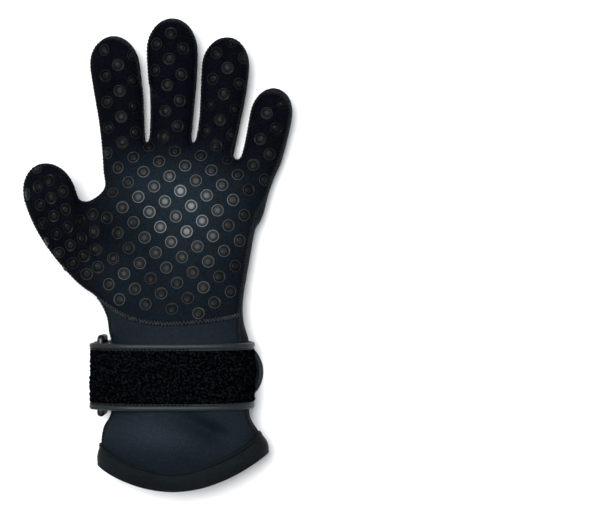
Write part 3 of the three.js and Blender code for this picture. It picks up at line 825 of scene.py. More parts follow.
# %% Ease the steps where tubes meet
# Columns: x, y, z of the middle from the wrist seam's origin, the reach in each direction, and 1
# where only heights of cloth that faces up are eased, or 0 where all of it is
EASED_REGIONS = np.array([
    (2.0, 101.0, 30.0, 52.0, 12.0, 40.0, 1),
    (-46.0, 63.0, 38.0, 10.0, 15.0, 20.0, 1),
    (44.0, 84.0, 30.0, 12.0, 12.0, 40.0, 1),
    (-52.0, 67.0, 29.0, 12.0, 13.0, 15.0, 0),
    (56.0, 84.0, 18.0, 9.0, 13.0, 16.0, 0),
])
EASED_PASSES = 70


def skin_normals(points, faces):
    """A normal for each point: the sum of the normals of its faces, made one long."""
    a, b, c = (points[faces[:, k]] for k in range(3))
    face_normal = np.cross(b - a, c - a)
    total = np.zeros_like(points)
    for k in range(3):
        np.add.at(total, faces[:, k], face_normal)
    return unit(total)


def eased_steps(points, faces):
    """Points moved towards the mean of their neighbours in some regions: a relaxation, weighted by
    exp(-distance^4) round each region's middle, with distance measured in its reach."""
    edges = np.sort(np.concatenate([faces[:, [0, 1]], faces[:, [1, 2]]]), axis=1)
    edges = np.unique(edges, axis=0)
    both = np.concatenate([edges, edges[:, ::-1]])
    degree = np.maximum(np.bincount(both[:, 0], minlength=len(points)), 1)
    offset = (points[:, None] - EASED_REGIONS[:, :3]) / EASED_REGIONS[:, 3:6]
    bell = np.exp(-((offset**2).sum(axis=2) ** 2))
    heights_only = EASED_REGIONS[:, 6] == 1
    facing_up = smooth_step((skin_normals(points, faces)[:, 2] - 0.25) / 0.4)
    every_way = np.clip(bell[:, ~heights_only].sum(axis=1), 0, 1)
    upward = np.clip(bell[:, heights_only].sum(axis=1) * facing_up, 0, 1)
    weight = 0.8 * np.stack([every_way, every_way, np.maximum(every_way, upward)], axis=1)
    moved = points.copy()
    for _ in range(EASED_PASSES):
        for k in range(3):
            mean = np.bincount(both[:, 0], moved[both[:, 1], k], minlength=len(points)) / degree
            moved[:, k] += weight[:, k] * (mean - moved[:, k])
    return moved


skin_points = eased_steps(skin_points, skin_faces)
print("eased regions:", len(EASED_REGIONS))

# %% [markdown]
# ## Soft dents
#
# A glove without a hand in it isn't smooth: the cloth folds at the root of the thumb, sinks in the
# middle of the palm and has a slanting dent on the cuff. Each dent is a long soft valley, a bell
# curve across and along, which lowers the palm side. One of negative depth is a swelling.

# %% Dents on the palm side
# Columns: x and y of the middle from the wrist seam's origin, direction in degrees, length, width
# and depth
DENTS = np.array([
    (-37.5, 58.0, 88, 15, 3.0, 1.5),
    (-30.0, 60.0, 80, 16, 6.0, -0.7),
    (18.0, -63.0, -27, 22, 6.0, 5.4),
    (-8.0, -71.0, -20, 24, 8.0, -1.8),
    (-18.0, -57.0, 62, 15, 7.0, 0.7),
    (-24.0, 30.0, 48, 22, 5.0, 0.8),
    (8.0, 62.0, 15, 24, 8.0, 0.6),
    (31.0, 47.0, -28, 20, 6.0, 0.6),
    (-5.0, -6.5, 4, 30, 3.5, 0.8),
    (-28.5, 106.0, 0, 8, 3.0, 0.5),
    (-3.0, 112.0, 2, 9, 3.0, 0.5),
    (27.0, 110.0, -3, 8, 3.0, 0.5),
    (49.0, 92.0, -12, 8, 2.6, 0.4),
])
WAVINESS = 0.22


def dented(points):
    """Height less the sum of each dent's depth * exp(-(along / length)^2 - (across / width)^2), and
    a faint waviness of crossed sines, on points that lie above the middle of the glove."""
    x, y = points[:, 0], points[:, 1]
    middle_z = section(y)[2]
    above = smooth_step((points[:, 2] - middle_z) / 6 + 0.5)
    angle = np.radians(DENTS[:, 2])
    dx = x[:, None] - DENTS[:, 0]
    dy = y[:, None] - DENTS[:, 1]
    along = (dx * np.cos(angle) + dy * np.sin(angle)) / DENTS[:, 3]
    across = (dy * np.cos(angle) - dx * np.sin(angle)) / DENTS[:, 4]
    sunk = (DENTS[:, 5] * np.exp(-(along**2) - across**2)).sum(axis=1)
    wave = np.sin(x / 3.1 + 1.3 * np.sin(y / 7.3)) * np.sin(y / 4.3 + np.sin(x / 5.9))
    result = points.copy()
    result[:, 2] -= above * (sunk + WAVINESS * wave)
    return result


skin_points = dented(skin_points)
print("deepest dent in mm:", DENTS[:, 5].max())

# %% [markdown]
# ## Cut the skin along its seams
#
# The real glove is cut from flat neoprene: a palm piece, a back piece and a cuff front. Here the
# skin is trimmed by smooth functions that are zero on a seam: a sheet through the digits' sides,
# the curved wrist seam, and the hem. Trimming triangles exactly on that zero gives clean edges.

# %% Where the seams run
# Millimetres above the middle height, at the palm, and at each digit's left and right side
PALM_RISE = 7.2
DIGIT_RISE = {
    "thumb": (5.0, 1.5), "index": (3.0, 5.2), "middle": (4.0, 4.5), "ring": (3.5, 5.5),
    "little": (3.5, 6.8),
}
# Columns: x, y, reach in x and y, and how far the sheet is moved up
SHEET_BELLS = np.array([(-53.5, 73.0, 4.5, 8.0, -7.5), (44.0, -12.0, 14.0, 14.0, 5.0)])
# Columns: across as a share of the palm's width, up as a share of its length
WRIST_SEAM = np.array([
    (-1.2, 0.34), (-0.56, 0.2), (-0.445, 0.137), (-0.355, 0.074), (-0.265, 0.028), (-0.15, 0.0),
    (0.0, -0.006), (0.2, 0.01), (0.35, 0.03), (0.43, 0.057), (0.7, 0.08),
]) * [PALM_WIDTH, PALM_LENGTH]


def side_seam_height(x, y):
    """Height of the side seam's sheet: along each digit's axis at its own height plus a rise, and
    at the palm's middle height plus a rise towards the wrist, straight between the digits."""
    stops_x, stops_z = [], []
    for name in DIGITS:
        axis = digit_axis(name, 24)
        half = 0.55 * DIGITS[name][5] * FINGER_WIDTH
        line_x = np.interp(y, axis[:, 1], axis[:, 0])
        joining = smooth_step((y - axis[0, 1]) / half)
        line_z = np.interp(y, axis[:, 1], axis[:, 2])
        at_palm = (section(y)[2] + PALM_RISE) * (1 - joining)
        stops_x += [line_x - half, line_x + half]
        stops_z += [(line_z + rise) * joining + at_palm for rise in DIGIT_RISE[name]]
    stops_x, stops_z = np.stack(stops_x, axis=1), np.stack(stops_z, axis=1)
    order = np.argsort(stops_x, axis=1)
    stops_x = np.take_along_axis(stops_x, order, axis=1)
    stops_z = np.take_along_axis(stops_z, order, axis=1)
    right = np.clip((stops_x < x[:, None]).sum(axis=1), 1, stops_x.shape[1] - 1)[:, None]
    x0, x1 = (np.take_along_axis(stops_x, right - k, axis=1)[:, 0] for k in (1, 0))
    z0, z1 = (np.take_along_axis(stops_z, right - k, axis=1)[:, 0] for k in (1, 0))
    sheet = z0 + (z1 - z0) * np.clip((x - x0) / np.maximum(x1 - x0, 1e-6), 0, 1)
    offset = (np.stack([x, y], axis=1)[:, None] - SHEET_BELLS[:, :2]) / SHEET_BELLS[:, 2:4]
    return sheet + (SHEET_BELLS[:, 4] * np.exp(-(offset**2).sum(axis=2))).sum(axis=1)


def over_side_seam(points):
    """Positive on the palm side of the side seams, in millimetres."""
    return points[:, 2] - side_seam_height(points[:, 0], points[:, 1])


wrist_line = eased(spaced(WRIST_SEAM, 1.0), 40)


def over_wrist_seam(points):
    """Positive on the fingers' side of the wrist seam."""
    return points[:, 1] - np.interp(points[:, 0], wrist_line[:, 0], wrist_line[:, 1])


def above_hem(points):
    """Positive inside the hem's edge, which hangs as the hem does."""
    thumb, little, z = section(np.full(1, HEM_Y))[:3]
    across = np.clip((points[:, 0] - (thumb + little) / 2) / ((little - thumb) / 2), -1, 1)
    return points[:, 1] - (HEM_Y - hem_hang(across, points[:, 2] > z))


def trimmed(points, faces, height):
    """The part of a triangle mesh where height is positive. Whole triangles stay, and one that
    crosses zero is cut where height, taken as straight along each edge, is zero."""
    inside = height > 0
    count = inside[faces].sum(axis=1)

    def turned(part, lone):
        first = np.argmax(lone, axis=1)[:, None]
        return np.take_along_axis(part, (first + np.arange(3)) % 3, axis=1)

    one = turned(faces[count == 1], inside[faces[count == 1]])
    two = turned(faces[count == 2], ~inside[faces[count == 2]])
    cuts = np.concatenate([one[:, [0, 1]], one[:, [0, 2]], two[:, [0, 1]], two[:, [0, 2]]])
    edges, which = np.unique(np.sort(cuts, axis=1), axis=0, return_inverse=True)
    h0, h1 = height[edges[:, 0]], height[edges[:, 1]]
    share = (h0 / (h0 - h1))[:, None]
    born = points[edges[:, 0]] + share * (points[edges[:, 1]] - points[edges[:, 0]])
    which = which.ravel() + len(points)
    a, b, c, d = np.split(which, np.cumsum([len(one), len(one), len(two)]))
    kept = np.concatenate([
        faces[count == 3],
        np.stack([one[:, 0], a, b], axis=1),
        np.stack([c, two[:, 1], two[:, 2]], axis=1),
        np.stack([c, two[:, 2], d], axis=1),
    ])
    used, kept = np.unique(kept, return_inverse=True)
    return np.concatenate([points, born])[used], kept.reshape(-1, 3)


cut_points, cut_faces = trimmed(skin_points, skin_faces, above_hem(skin_points))
front = trimmed(cut_points, cut_faces, over_side_seam(cut_points))
back = trimmed(cut_points, cut_faces, -over_side_seam(cut_points))
palm = trimmed(*front, over_wrist_seam(front[0]))
wrist = trimmed(*front, -over_wrist_seam(front[0]))
print("triangles in palm, wrist and back:", len(palm[1]), len(wrist[1]), len(back[1]))

# %% [markdown]
# The middle of the palm carries a painted sheen, paler than the fingers, and the cuff carries a
# painted light where it bulges and painted shade down in its slanting fold, which is also dented in
# the geometry. The two panels and the print carry that painted light as an attribute of their points,
# which their materials read.

# %% Painted sheen, light and shade over the palm and the cuff
# Columns: x and y of the middle from the wrist seam's origin, reach in x and y, and strength, which
# is positive for painted sheen and painted light, and negative along the cuff's fold, where it paints
# shade
PAINTED_LIGHT_SPOTS = np.array([
    (8.0, 62.0, 34.0, 26.0, 0.85),
    (-6.0, 86.0, 46.0, 18.0, 0.55),
    (4.0, 22.0, 38.0, 26.0, 0.33),
    (-40.0, 24.0, 16.0, 16.0, 0.3),
    (0.0, -40.0, 90.0, 42.0, 0.5),
    (-14.0, -67.0, 24.0, 11.0, 0.5),
    (36.0, -67.0, 9.0, 8.0, 0.35),
    (2.0, -58.0, 14.0, 5.0, -0.16),
    (16.0, -62.0, 14.0, 5.5, -0.2),
    (31.0, -67.0, 14.0, 6.0, -0.22),
])


def wear_at(points):
    """Painted light and shade: the sum over the painted places of strength * exp(-distance^2), each
    in its own reach.
    """
    offset = (points[:, None, :2] - PAINTED_LIGHT_SPOTS[:, :2]) / PAINTED_LIGHT_SPOTS[:, 2:4]
    return np.clip((PAINTED_LIGHT_SPOTS[:, 4] * np.exp(-(offset**2).sum(axis=2))).sum(axis=1), 0, 1)


def add_wear(made, wear):
    """The painted light and shade written to the mesh as one number for each point."""
    layer = made.data.attributes.new(LIGHT_ATTRIBUTE, "FLOAT", "POINT")
    layer.data.foreach_set("value", wear.astype(np.float32))


print("wear in mid palm:", wear_at(np.array([[8.0, 62.0, 0.0]])).round(2))

# %% [markdown]
# ## The panels
#
# Each trimmed part gets the neoprene's 3 mm wall with a Solidify modifier, which adds thickness
# inwards and closes the cut edges.

# %% Palm, back and wrist panels
MERGE_MM = 0.25


def panel(name, part, material, node):
    """A trimmed part of the skin, its shortest edges merged, thickened inwards by the wall."""
    points, faces = part
    made = piece(name, points + ORIGIN, [faces], material, [node])
    weld = made.modifiers.new("weld", "WELD")
    weld.merge_threshold = MERGE_MM * MM
    wall = made.modifiers.new("wall", "SOLIDIFY")
    wall.thickness = WALL * MM
    wall.offset = -1
    return made


palm_piece = panel("palm_shell", palm, PALM_CLOTH, "palm_panel")
panel("back_shell", back, BACK_CLOTH, "back_panel")
wrist_piece = panel("wrist_shell", wrist, CUFF_CLOTH, "wrist_panel")
# The palm and cuff panels carry their painted sheen, painted light and painted shade in this
# attribute
add_wear(palm_piece, wear_at(palm[0]))
add_wear(wrist_piece, wear_at(wrist[0]))

# %% [markdown]
# ## Side seams
#
# Palm and back are sewn together edge to edge round every finger. The stitches pull the cloth into
# a row of small pits, and outside them the back's edge stands up as a thin ridge. The seam's line
# is the palm side's own cut edge. Blender's convert operator strings those edges into a path, and
# the ridge and the stitches follow it.

# %% The seam's line from the cut edge
def open_edges(faces):
    """Edges that belong to one face only."""
    sides = np.sort(np.concatenate([faces[:, [0, 1]], faces[:, [1, 2]], faces[:, [2, 0]]]), axis=1)
    edges, count = np.unique(sides, axis=0, return_counts=True)
    return edges[count == 1]


def strung(points, edges):
    """The longest path that the edges make, in order, from Blender's mesh-to-curve conversion."""
    mesh = bpy.data.meshes.new("seam_work")
    mesh.from_pydata((points * MM).tolist(), edges.tolist(), [])
    work = bpy.data.objects.new("seam_work", mesh)
    bpy.context.scene.collection.objects.link(work)
    bpy.ops.object.select_all(action="DESELECT")
    work.select_set(True)
    bpy.context.view_layer.objects.active = work
    bpy.ops.object.convert(target="CURVE")
    work = bpy.context.view_layer.objects.active
    longest = max(work.data.splines, key=lambda spline: len(spline.points))
    path = np.empty(len(longest.points) * 4)
    longest.points.foreach_get("co", path)
    bpy.data.objects.remove(work)
    return path.reshape(-1, 4)[:, :3] / MM


SKIN_NORMALS = skin_normals(skin_points, skin_faces)


def normals_along(path, passes=6):
    """For each point of a path the normal of the nearest skin point, smoothed along the path."""
    blocks = []
    for part in np.array_split(path, max(len(path) // 200, 1)):
        low, high = part.min(axis=0) - 4, part.max(axis=0) + 4
        near = np.flatnonzero(((skin_points > low) & (skin_points < high)).all(axis=1))
        distance = ((part[:, None] - skin_points[near][None]) ** 2).sum(axis=2)
        blocks.append(SKIN_NORMALS[near[distance.argmin(axis=1)]])
    return unit(eased(np.concatenate(blocks), passes))


def seam_frame(path):
    """Along, up (off the cloth) and across (in the cloth) at each point of a path."""
    along = tangents(path)
    up = normals_along(path)
    up = unit(up - along * (up * along).sum(axis=1, keepdims=True))
    return along, up, np.cross(up, along)


NEAR_SEAM = 0.3
SEAM_STEP = 0.35
UNDER_TAPE = 2.5


def settled(path):
    """The path evenly spaced and eased, which loses the voxels' steps, and running towards +X."""
    path = spaced(eased(spaced(path, 0.8), 10), SEAM_STEP)
    return path if path[0, 0] < path[-1, 0] else path[::-1]


def side_path():
    """The cut edge between palm side and back, which ends a little way under the hem's tape."""
    edges = open_edges(front[1])
    on_hem = np.abs(above_hem(front[0])) < NEAR_SEAM
    path = settled(strung(front[0], edges[~on_hem[edges].all(axis=1)]))
    return path[above_hem(path) > HEM_TAPE_WIDTH - UNDER_TAPE]


SIDE_PATH = side_path()
side_along, side_up, side_across = seam_frame(SIDE_PATH)
side_across = side_across * np.sign(over_side_seam(SIDE_PATH + side_across).sum())
ends = SIDE_PATH[[0, -1]].round(1).tolist()
print("side seam in mm:", round(len(SIDE_PATH) * SEAM_STEP), "ends", ends)

# %% Ridge outside the stitches
STITCH_PITCH = 2.1
RIDGE_RADIUS, RIDGE_SWELL, RIDGE_OUT, RIDGE_SUNK = 0.95, 0.16, 0.75, 0.25


def cord_along(path, along, up, across, wide, high, sides=10):
    """An oval carried along a path: wide across the cloth and high off it, each an array or a
    number."""
    turn = np.linspace(0, 2 * np.pi, sides, endpoint=False)[None, :, None]
    wide = np.broadcast_to(wide, len(path))[:, None, None]
    high = np.broadcast_to(high, len(path))[:, None, None]
    over, aside = high * np.sin(turn) * up[:, None], wide * np.cos(turn) * across[:, None]
    return closed_tube(path[:, None] + aside + over)


def side_ridge():
    """The back's raised edge: its radius swells between stitches and shrinks at each one."""
    distance = np.arange(len(SIDE_PATH)) * SEAM_STEP
    radius = RIDGE_RADIUS + RIDGE_SWELL * np.cos(2 * np.pi * distance / STITCH_PITCH)
    centre = SIDE_PATH - side_across * RIDGE_OUT - side_up * RIDGE_SUNK
    return cord_along(centre, side_along, side_up, side_across, radius, radius)


closed_piece("side_seam_ridge", side_ridge(), RIDGE_CLOTH)

# %% [markdown]
# Each stitch is a short thread sunk in its pit. One bead, a sphere stretched along one axis, with
# only a few dozen faces, is set down at every stitch and turned into the seam's own directions.

# %% Stitches on the palm's side of the ridge
def bead(rows=5, sides=6):
    """A unit sphere: circles of latitude between two poles."""
    rise = np.linspace(-1, 1, rows + 2)[1:-1, None] * 0.92
    turn = np.linspace(0, 2 * np.pi, sides, endpoint=False)[None, :]
    radius = np.sqrt(1 - rise**2)
    circle = np.broadcast_arrays(rise, radius * np.cos(turn), radius * np.sin(turn))
    rings = np.stack(circle, axis=-1)
    points, faces = closed_tube(rings)
    points[-2:] = [[-1, 0, 0], [1, 0, 0]]
    return points, outward(points, faces)


BEAD_POINTS, BEAD_FACES = bead()


def stitches(path, along, up, across, pitch, size, slant, offset_across, offset_up):
    """Beads at even steps along a path: size is length, width and height, and slant turns each one
    from the seam's direction towards its across direction, in degrees."""
    step = np.linalg.norm(np.diff(path, axis=0), axis=1).mean()
    pick = np.arange(pitch / 2, len(path) * step, pitch) / step
    pick = pick[pick < len(path)].astype(int)
    a, u, c = along[pick], up[pick], across[pick]
    angle = np.radians(slant)
    lead = np.cos(angle) * a + np.sin(angle) * c
    aside = np.cos(angle) * c - np.sin(angle) * a
    length, width, height = (value / 2 for value in size)
    axes = np.stack([lead * length, aside * width, u * height], axis=1)
    origins = path[pick] + c * offset_across + u * offset_up
    return repeated(BEAD_POINTS, BEAD_FACES, origins, axes)


side_stitches = stitches(
    SIDE_PATH, side_along, side_up, side_across, STITCH_PITCH, (1.45, 0.75, 0.5), 62, 0.7, 0.1
)
closed_piece("side_seam_stitches", side_stitches, THREAD)

# %% [markdown]
# ## Wrist seam
#
# Where the palm meets the cuff the two edges are overlocked: they stand up as a round cord, and a
# zigzag thread wraps it.

# %% Wrist seam cord and its zigzag thread
WRIST_CORD_RADIUS, CORD_RISE, THREAD_RADIUS = 1.25, 0.25, 0.23
ZIGZAG_PITCH, ZIGZAG_WIDTH, DRIFT_STEP = 1.9, 1.35, 3.0


def wrist_path():
    """The palm panel's lower edge, eased."""
    edges = open_edges(palm[1])
    on_seam = np.abs(over_wrist_seam(palm[0])) < NEAR_SEAM
    return settled(strung(palm[0], edges[on_seam[edges].all(axis=1)]))


WRIST_PATH = wrist_path()
wrist_along, wrist_up, wrist_across = seam_frame(WRIST_PATH)


def wrist_cord():
    """A cord along the wrist seam, lumpy where the thread pulls it in."""
    distance = np.arange(len(WRIST_PATH)) * SEAM_STEP
    lumps = 0.16 * np.cos(2 * np.pi * distance / 1.75) + 0.1 * np.sin(distance / 1.9)
    radius = WRIST_CORD_RADIUS + lumps
    centre = WRIST_PATH + CORD_RISE * wrist_up
    return cord_along(centre, wrist_along, wrist_up, wrist_across, radius * 1.1, radius * 0.85)


def zigzag():
    """A thin thread over the cord: its place across swings to and fro in a triangle wave, and it
    keeps to the cord's round top. A seeded drift makes the stitches a little uneven."""
    at = np.arange((len(WRIST_PATH) - 1) * 3 + 1) * (SEAM_STEP / 3)
    source = np.arange(len(WRIST_PATH)) * SEAM_STEP
    path, up, across = (read_at(at, source, v) for v in (WRIST_PATH, wrist_up, wrist_across))
    places = np.arange(0, at[-1] + DRIFT_STEP, DRIFT_STEP)
    rng = np.random.default_rng(11)
    drift = np.interp(at, places, rng.normal(0, 0.45, int(at[-1] / DRIFT_STEP) + 2))
    swing = 2 / np.pi * np.arcsin(np.sin(2 * np.pi * (at + drift) / ZIGZAG_PITCH))
    height = WRIST_CORD_RADIUS * (0.35 + 0.75 * np.sqrt(1 - 0.85 * swing**2))
    middle = path + ZIGZAG_WIDTH * swing[:, None] * across + height[:, None] * up
    along = tangents(middle)
    aside = unit(np.cross(up, along))
    over = np.cross(along, aside)
    return cord_along(middle, along, over, aside, THREAD_RADIUS, THREAD_RADIUS, sides=5)


closed_piece("wrist_seam_cord", wrist_cord(), THREAD)
closed_piece("wrist_seam_thread", zigzag(), SEAM_THREAD)

# %% [markdown]
# ## Grip print
#
# The palm is screen-printed with small raised pads of dark silicone, on one lattice that was flat
# when it was printed. Above the webs it leans with each finger, and on the thumb it is turned. Each
# pad is a plain ring round a smaller disc. Its rim and disc carry a painted highlight, strongest in
# mid palm.
# To lie on the cloth, a net of points is dropped on the palm with a Shrinkwrap modifier, and every
# pad reads its height and slope from that net.

# %% A net of heights over the palm
NET_STEP = 0.8
NET_LOW, NET_HIGH = np.array([-95.0, -20.0]), np.array([75.0, 190.0])
NET_START = 90.0


def height_net():
    """Heights of the skin on an even grid of x and y, from a grid of points projected down on it."""
    columns, rows = np.ceil((NET_HIGH - NET_LOW) / NET_STEP).astype(int) + 1
    x = NET_LOW[0] + NET_STEP * np.arange(columns)
    y = NET_LOW[1] + NET_STEP * np.arange(rows)
    points = np.stack([*np.meshgrid(x, y), np.full((rows, columns), NET_START)], axis=-1)
    skin = plain_object("skin_target", skin_points, [skin_faces])
    net = plain_object("net", points.reshape(-1, 3), [grid_faces(rows, columns)])
    drop = net.modifiers.new("drop", "SHRINKWRAP")
    drop.target = skin
    drop.wrap_method = "PROJECT"
    drop.use_project_z = True
    drop.use_negative_direction = True
    drop.use_positive_direction = False
    dropped, _ = mesh_arrays(net)
    bpy.data.objects.remove(net)
    bpy.data.objects.remove(skin)
    return dropped[:, 2].reshape(rows, columns)


def filled_out(heights, passes=8):
    """Where the net missed the glove, each point takes the mean of its neighbours that hit it, less
    a step down, spreading outwards a point at each pass, so that a pad can hang over an edge."""
    known = heights < NET_START - 1
    values = np.where(known, heights, 0)
    for _ in range(passes):
        around = [
            (np.roll(values, shift, axis), np.roll(known, shift, axis))
            for shift in (1, -1) for axis in (0, 1)
        ]
        count = sum(k.astype(float) for _, k in around)
        mean = sum(v * k for v, k in around) / np.maximum(count, 1)
        fresh = ~known & (count > 0)
        values = np.where(fresh, mean - 1.0, values)
        known = known | fresh
    return values


NET = filled_out(height_net())
NET_SLOPE_Y, NET_SLOPE_X = np.gradient(NET, NET_STEP)


def from_net(values, x, y):
    """Straight-line interpolation in both directions between the net's values."""
    u = np.clip((x - NET_LOW[0]) / NET_STEP, 0, NET.shape[1] - 1.001)
    v = np.clip((y - NET_LOW[1]) / NET_STEP, 0, NET.shape[0] - 1.001)
    column, row = u.astype(int), v.astype(int)
    s, t = u - column, v - row
    low = values[row, column] * (1 - s) + values[row, column + 1] * s
    high = values[row + 1, column] * (1 - s) + values[row + 1, column + 1] * s
    return low * (1 - t) + high * t


print("net:", NET.shape, "highest point in mm:", round(float(NET.max()), 1))

# %% Where the pads lie
# Lattice steps in mm, towards the little finger and towards the thumb, from a pad in mid palm
PALM_START = np.array([-12.4, 82.2])
PALM_STEPS = np.array([[6.61, -9.08], [-9.32, -6.37]])
THUMB_START = np.array([-63.4, 67.7])
THUMB_STEPS = np.array([[7.87, -6.56], [-6.86, -4.06]])
# How far the lattice leans for each mm above a height, for each finger
FINGER_LEAN = {
    "index": (-0.21, 108), "middle": (-0.09, 107), "ring": (-0.02, 102), "little": (0.09, 96),
}
PALM_TOP, THUMB_LIMIT, THUMB_TOP = 96, -42.5, 100.0
PAD_RADIUS = 3.75
SEAM_CLEAR, LEAST_GAP, STEEPEST, NET_MARGIN = 0.7, 7.6, 2.2, 5


def lattice(start, steps, reach=30):
    """Points start + i * first step + j * second step for whole i and j."""
    i, j = np.meshgrid(np.arange(-reach, reach), np.arange(-reach, reach))
    return start + i.reshape(-1, 1) * steps[0] + j.reshape(-1, 1) * steps[1]


def nearest_digit(x, y):
    """The place in DIGITS of the digit whose axis is nearest, seen from above."""
    places = np.stack([x, y], axis=1)[:, None]
    axes = [digit_axis(name, 40)[:, :2] for name in DIGITS]
    distances = [np.sqrt(((places - axis[None]) ** 2).sum(axis=2)).min(axis=1) for axis in axes]
    return np.stack(distances, axis=1).argmin(axis=1)


def pad_places():
    """The palm's lattice below the webs, each finger's leaning lattice above, and the thumb's."""
    found = []
    names = list(DIGITS)
    plain = lattice(PALM_START, PALM_STEPS)
    for name, (lean, begin) in FINGER_LEAN.items():
        moved = plain.copy()
        over = np.maximum(moved[:, 1] - begin, 0)
        moved[:, 0] += lean * over
        mine = nearest_digit(moved[:, 0], moved[:, 1]) == names.index(name)
        found.append(moved[mine & (over > 0)])
    found.append(plain[(plain[:, 1] <= PALM_TOP) & (plain[:, 0] > THUMB_LIMIT)])
    begins = np.array([0] + [FINGER_LEAN[name][1] for name in names[1:]])
    begins = begins[nearest_digit(plain[:, 0], plain[:, 1])]
    found.append(plain[(plain[:, 1] > PALM_TOP) & (plain[:, 1] <= begins)])
    thumb = lattice(THUMB_START, THUMB_STEPS)
    found.append(thumb[(thumb[:, 0] <= THUMB_LIMIT) & (thumb[:, 1] < THUMB_TOP)])
    places = np.concatenate(found)
    gaps = np.linalg.norm(places[:, None] - places[None], axis=2)
    crowded = ((gaps < LEAST_GAP) & np.tril(np.ones(gaps.shape, bool), -1)).any(axis=1)
    places = places[~crowded]
    z, slope_x, slope_y = (from_net(v, *places.T) for v in (NET, NET_SLOPE_X, NET_SLOPE_Y))
    points = np.column_stack([places, z])
    inside = ((places > NET_LOW + NET_MARGIN) & (places < NET_HIGH - NET_MARGIN)).all(axis=1)
    clear = (over_side_seam(points) > 0) & (over_wrist_seam(points) > PAD_RADIUS + SEAM_CLEAR)
    return places[inside & (z > 1) & clear & (np.hypot(slope_x, slope_y) < STEEPEST)]


PAD_PLACES = pad_places()
print("pads:", len(PAD_PLACES))


# %% One pad, and all of them laid on the cloth
# Columns: radius, height off the cloth, the share of the painted highlight that full painted light
# gives there, which makes rim and disc paler than the film, and the power that the painted light is
# taken to, so that what stands lower or inside the rim gets its painted highlight later
PAD_PROFILE = np.array([
    (3.82, -0.3, 0.0, 1.8), (3.76, 0.16, 0.9, 1.8), (3.62, 0.26, 1.0, 1.8), (3.3, 0.26, 1.0, 1.8),
    (3.16, 0.1, 0.14, 2.0), (1.95, 0.08, 0.14, 2.0), (1.82, 0.22, 0.85, 3.4), (0.9, 0.24, 0.9, 3.4),
])
PAD_SIDES = 20
# LEAST_SHINE is the share of the painted highlight that a pad keeps outside the painted sheen
LEAST_SHINE, THUMB_NARROW, THUMB_BEGINS = 0.045, 0.84, 45


def pad_shape():
    """Circles of points about the middle of a pad: a rim, the film inside it and a raised disc in
    the middle. Each point has x, y and the profile's last three columns."""
    turn = np.linspace(0, 2 * np.pi, PAD_SIDES, endpoint=False)[None, :]
    radius = PAD_PROFILE[:, :1]
    circles = np.stack([radius * np.cos(turn), radius * np.sin(turn)], axis=2)
    rest = np.broadcast_to(PAD_PROFILE[:, None, 1:], (len(PAD_PROFILE), PAD_SIDES, 3))
    rings = np.concatenate([circles, rest], axis=2)
    middle = len(PAD_PROFILE) * PAD_SIDES
    points = np.concatenate([rings.reshape(-1, 5), [[0, 0, *PAD_PROFILE[-1, 1:]]]])
    quads = grid_faces(len(PAD_PROFILE), PAD_SIDES, around=True)
    tip = cap_faces(PAD_SIDES, middle - PAD_SIDES, middle, reverse=False)
    return points, np.concatenate([quads[:, [0, 1, 2]], quads[:, [0, 2, 3]], tip])


def lay_pads():
    """Each pad's circles are laid in the plane that touches the cloth at its middle, which narrows
    them where the cloth turns away, and then every point takes the height of the net there. After
    the three coordinates come a seeded strength of the pad's own painted glint and the profile's last
    two columns."""
    shape, faces = pad_shape()
    x, y = PAD_PLACES[:, 0], PAD_PLACES[:, 1]
    slope_x, slope_y = from_net(NET_SLOPE_X, x, y), from_net(NET_SLOPE_Y, x, y)
    narrow_x, narrow_y = 1 / np.hypot(1, slope_x), 1 / np.hypot(1, slope_y)
    narrow_x = narrow_x * np.where((x < THUMB_LIMIT) & (y > THUMB_BEGINS), THUMB_NARROW, 1.0)
    flat_x = (x[:, None] + shape[None, :, 0] * narrow_x[:, None]).ravel()
    flat_y = (y[:, None] + shape[None, :, 1] * narrow_y[:, None]).ravel()
    ground = np.stack([flat_x, flat_y, from_net(NET, flat_x, flat_y)], axis=1)
    slopes = [-from_net(slope, flat_x, flat_y) for slope in (NET_SLOPE_X, NET_SLOPE_Y)]
    normal = unit(np.stack([*slopes, np.ones(len(flat_x))], axis=1))
    points = ground + normal * np.tile(shape[:, 2], len(x))[:, None]
    offsets = np.arange(len(x))[:, None, None] * len(shape)
    # A seeded strength of each pad's painted glint, which varies from pad to pad
    uneven = np.repeat(np.random.default_rng(7).uniform(0.5, 1.5, len(x)), len(shape))
    columns = np.column_stack([points, uneven, np.tile(shape[:, 3:], (len(x), 1))])
    return columns, (faces[None] + offsets).reshape(-1, 3)


pads, pad_faces = lay_pads()
pads, pad_faces = trimmed(pads, pad_faces, over_side_seam(pads) - SEAM_CLEAR)
print_piece = piece("grip_print", pads[:, :3] + ORIGIN, [pad_faces], PRINT)
# The print's painted highlight: the painted sheen there, taken to the profile's power, times each
# pad's glint and the profile's share
pad_wear = wear_at(pads[:, :3]) ** pads[:, 5]
add_wear(print_piece, pads[:, 3] * pads[:, 4] * (LEAST_SHINE + (1 - LEAST_SHINE) * pad_wear))

# %% [markdown]
# ## Hem tape
#
# The raw edge of the cuff is bound with a strip of stretchy cloth, folded over it and sewn through.
# Its cross-section is a long U. The profile is carried round the cuff at the hem's own hanging
# line, so that its upper edge keeps the same distance from the hem, as the photograph shows.

# %% The tape as a folded profile round the hem
HEM_TURNS = 200
TAPE_FACE_MM = 12.4
# Where the stitches pull the face in, as a share of the way up it
STITCHED_AT = 0.84


def cuff_at(y, turn, out):
    """Points of the cuff's surface at a height that already has the hem's hang in it: the section
    is looked up where y plus its own hang gives that height, found by a few repeated guesses."""
    across, on_front = power(np.cos(turn)), np.sin(turn) > 0
    guess = y.copy()
    for _ in range(12):
        guess = y + hem_share(guess) * hem_hang(across, on_front)
    return hand_surface(guess, turn, out)


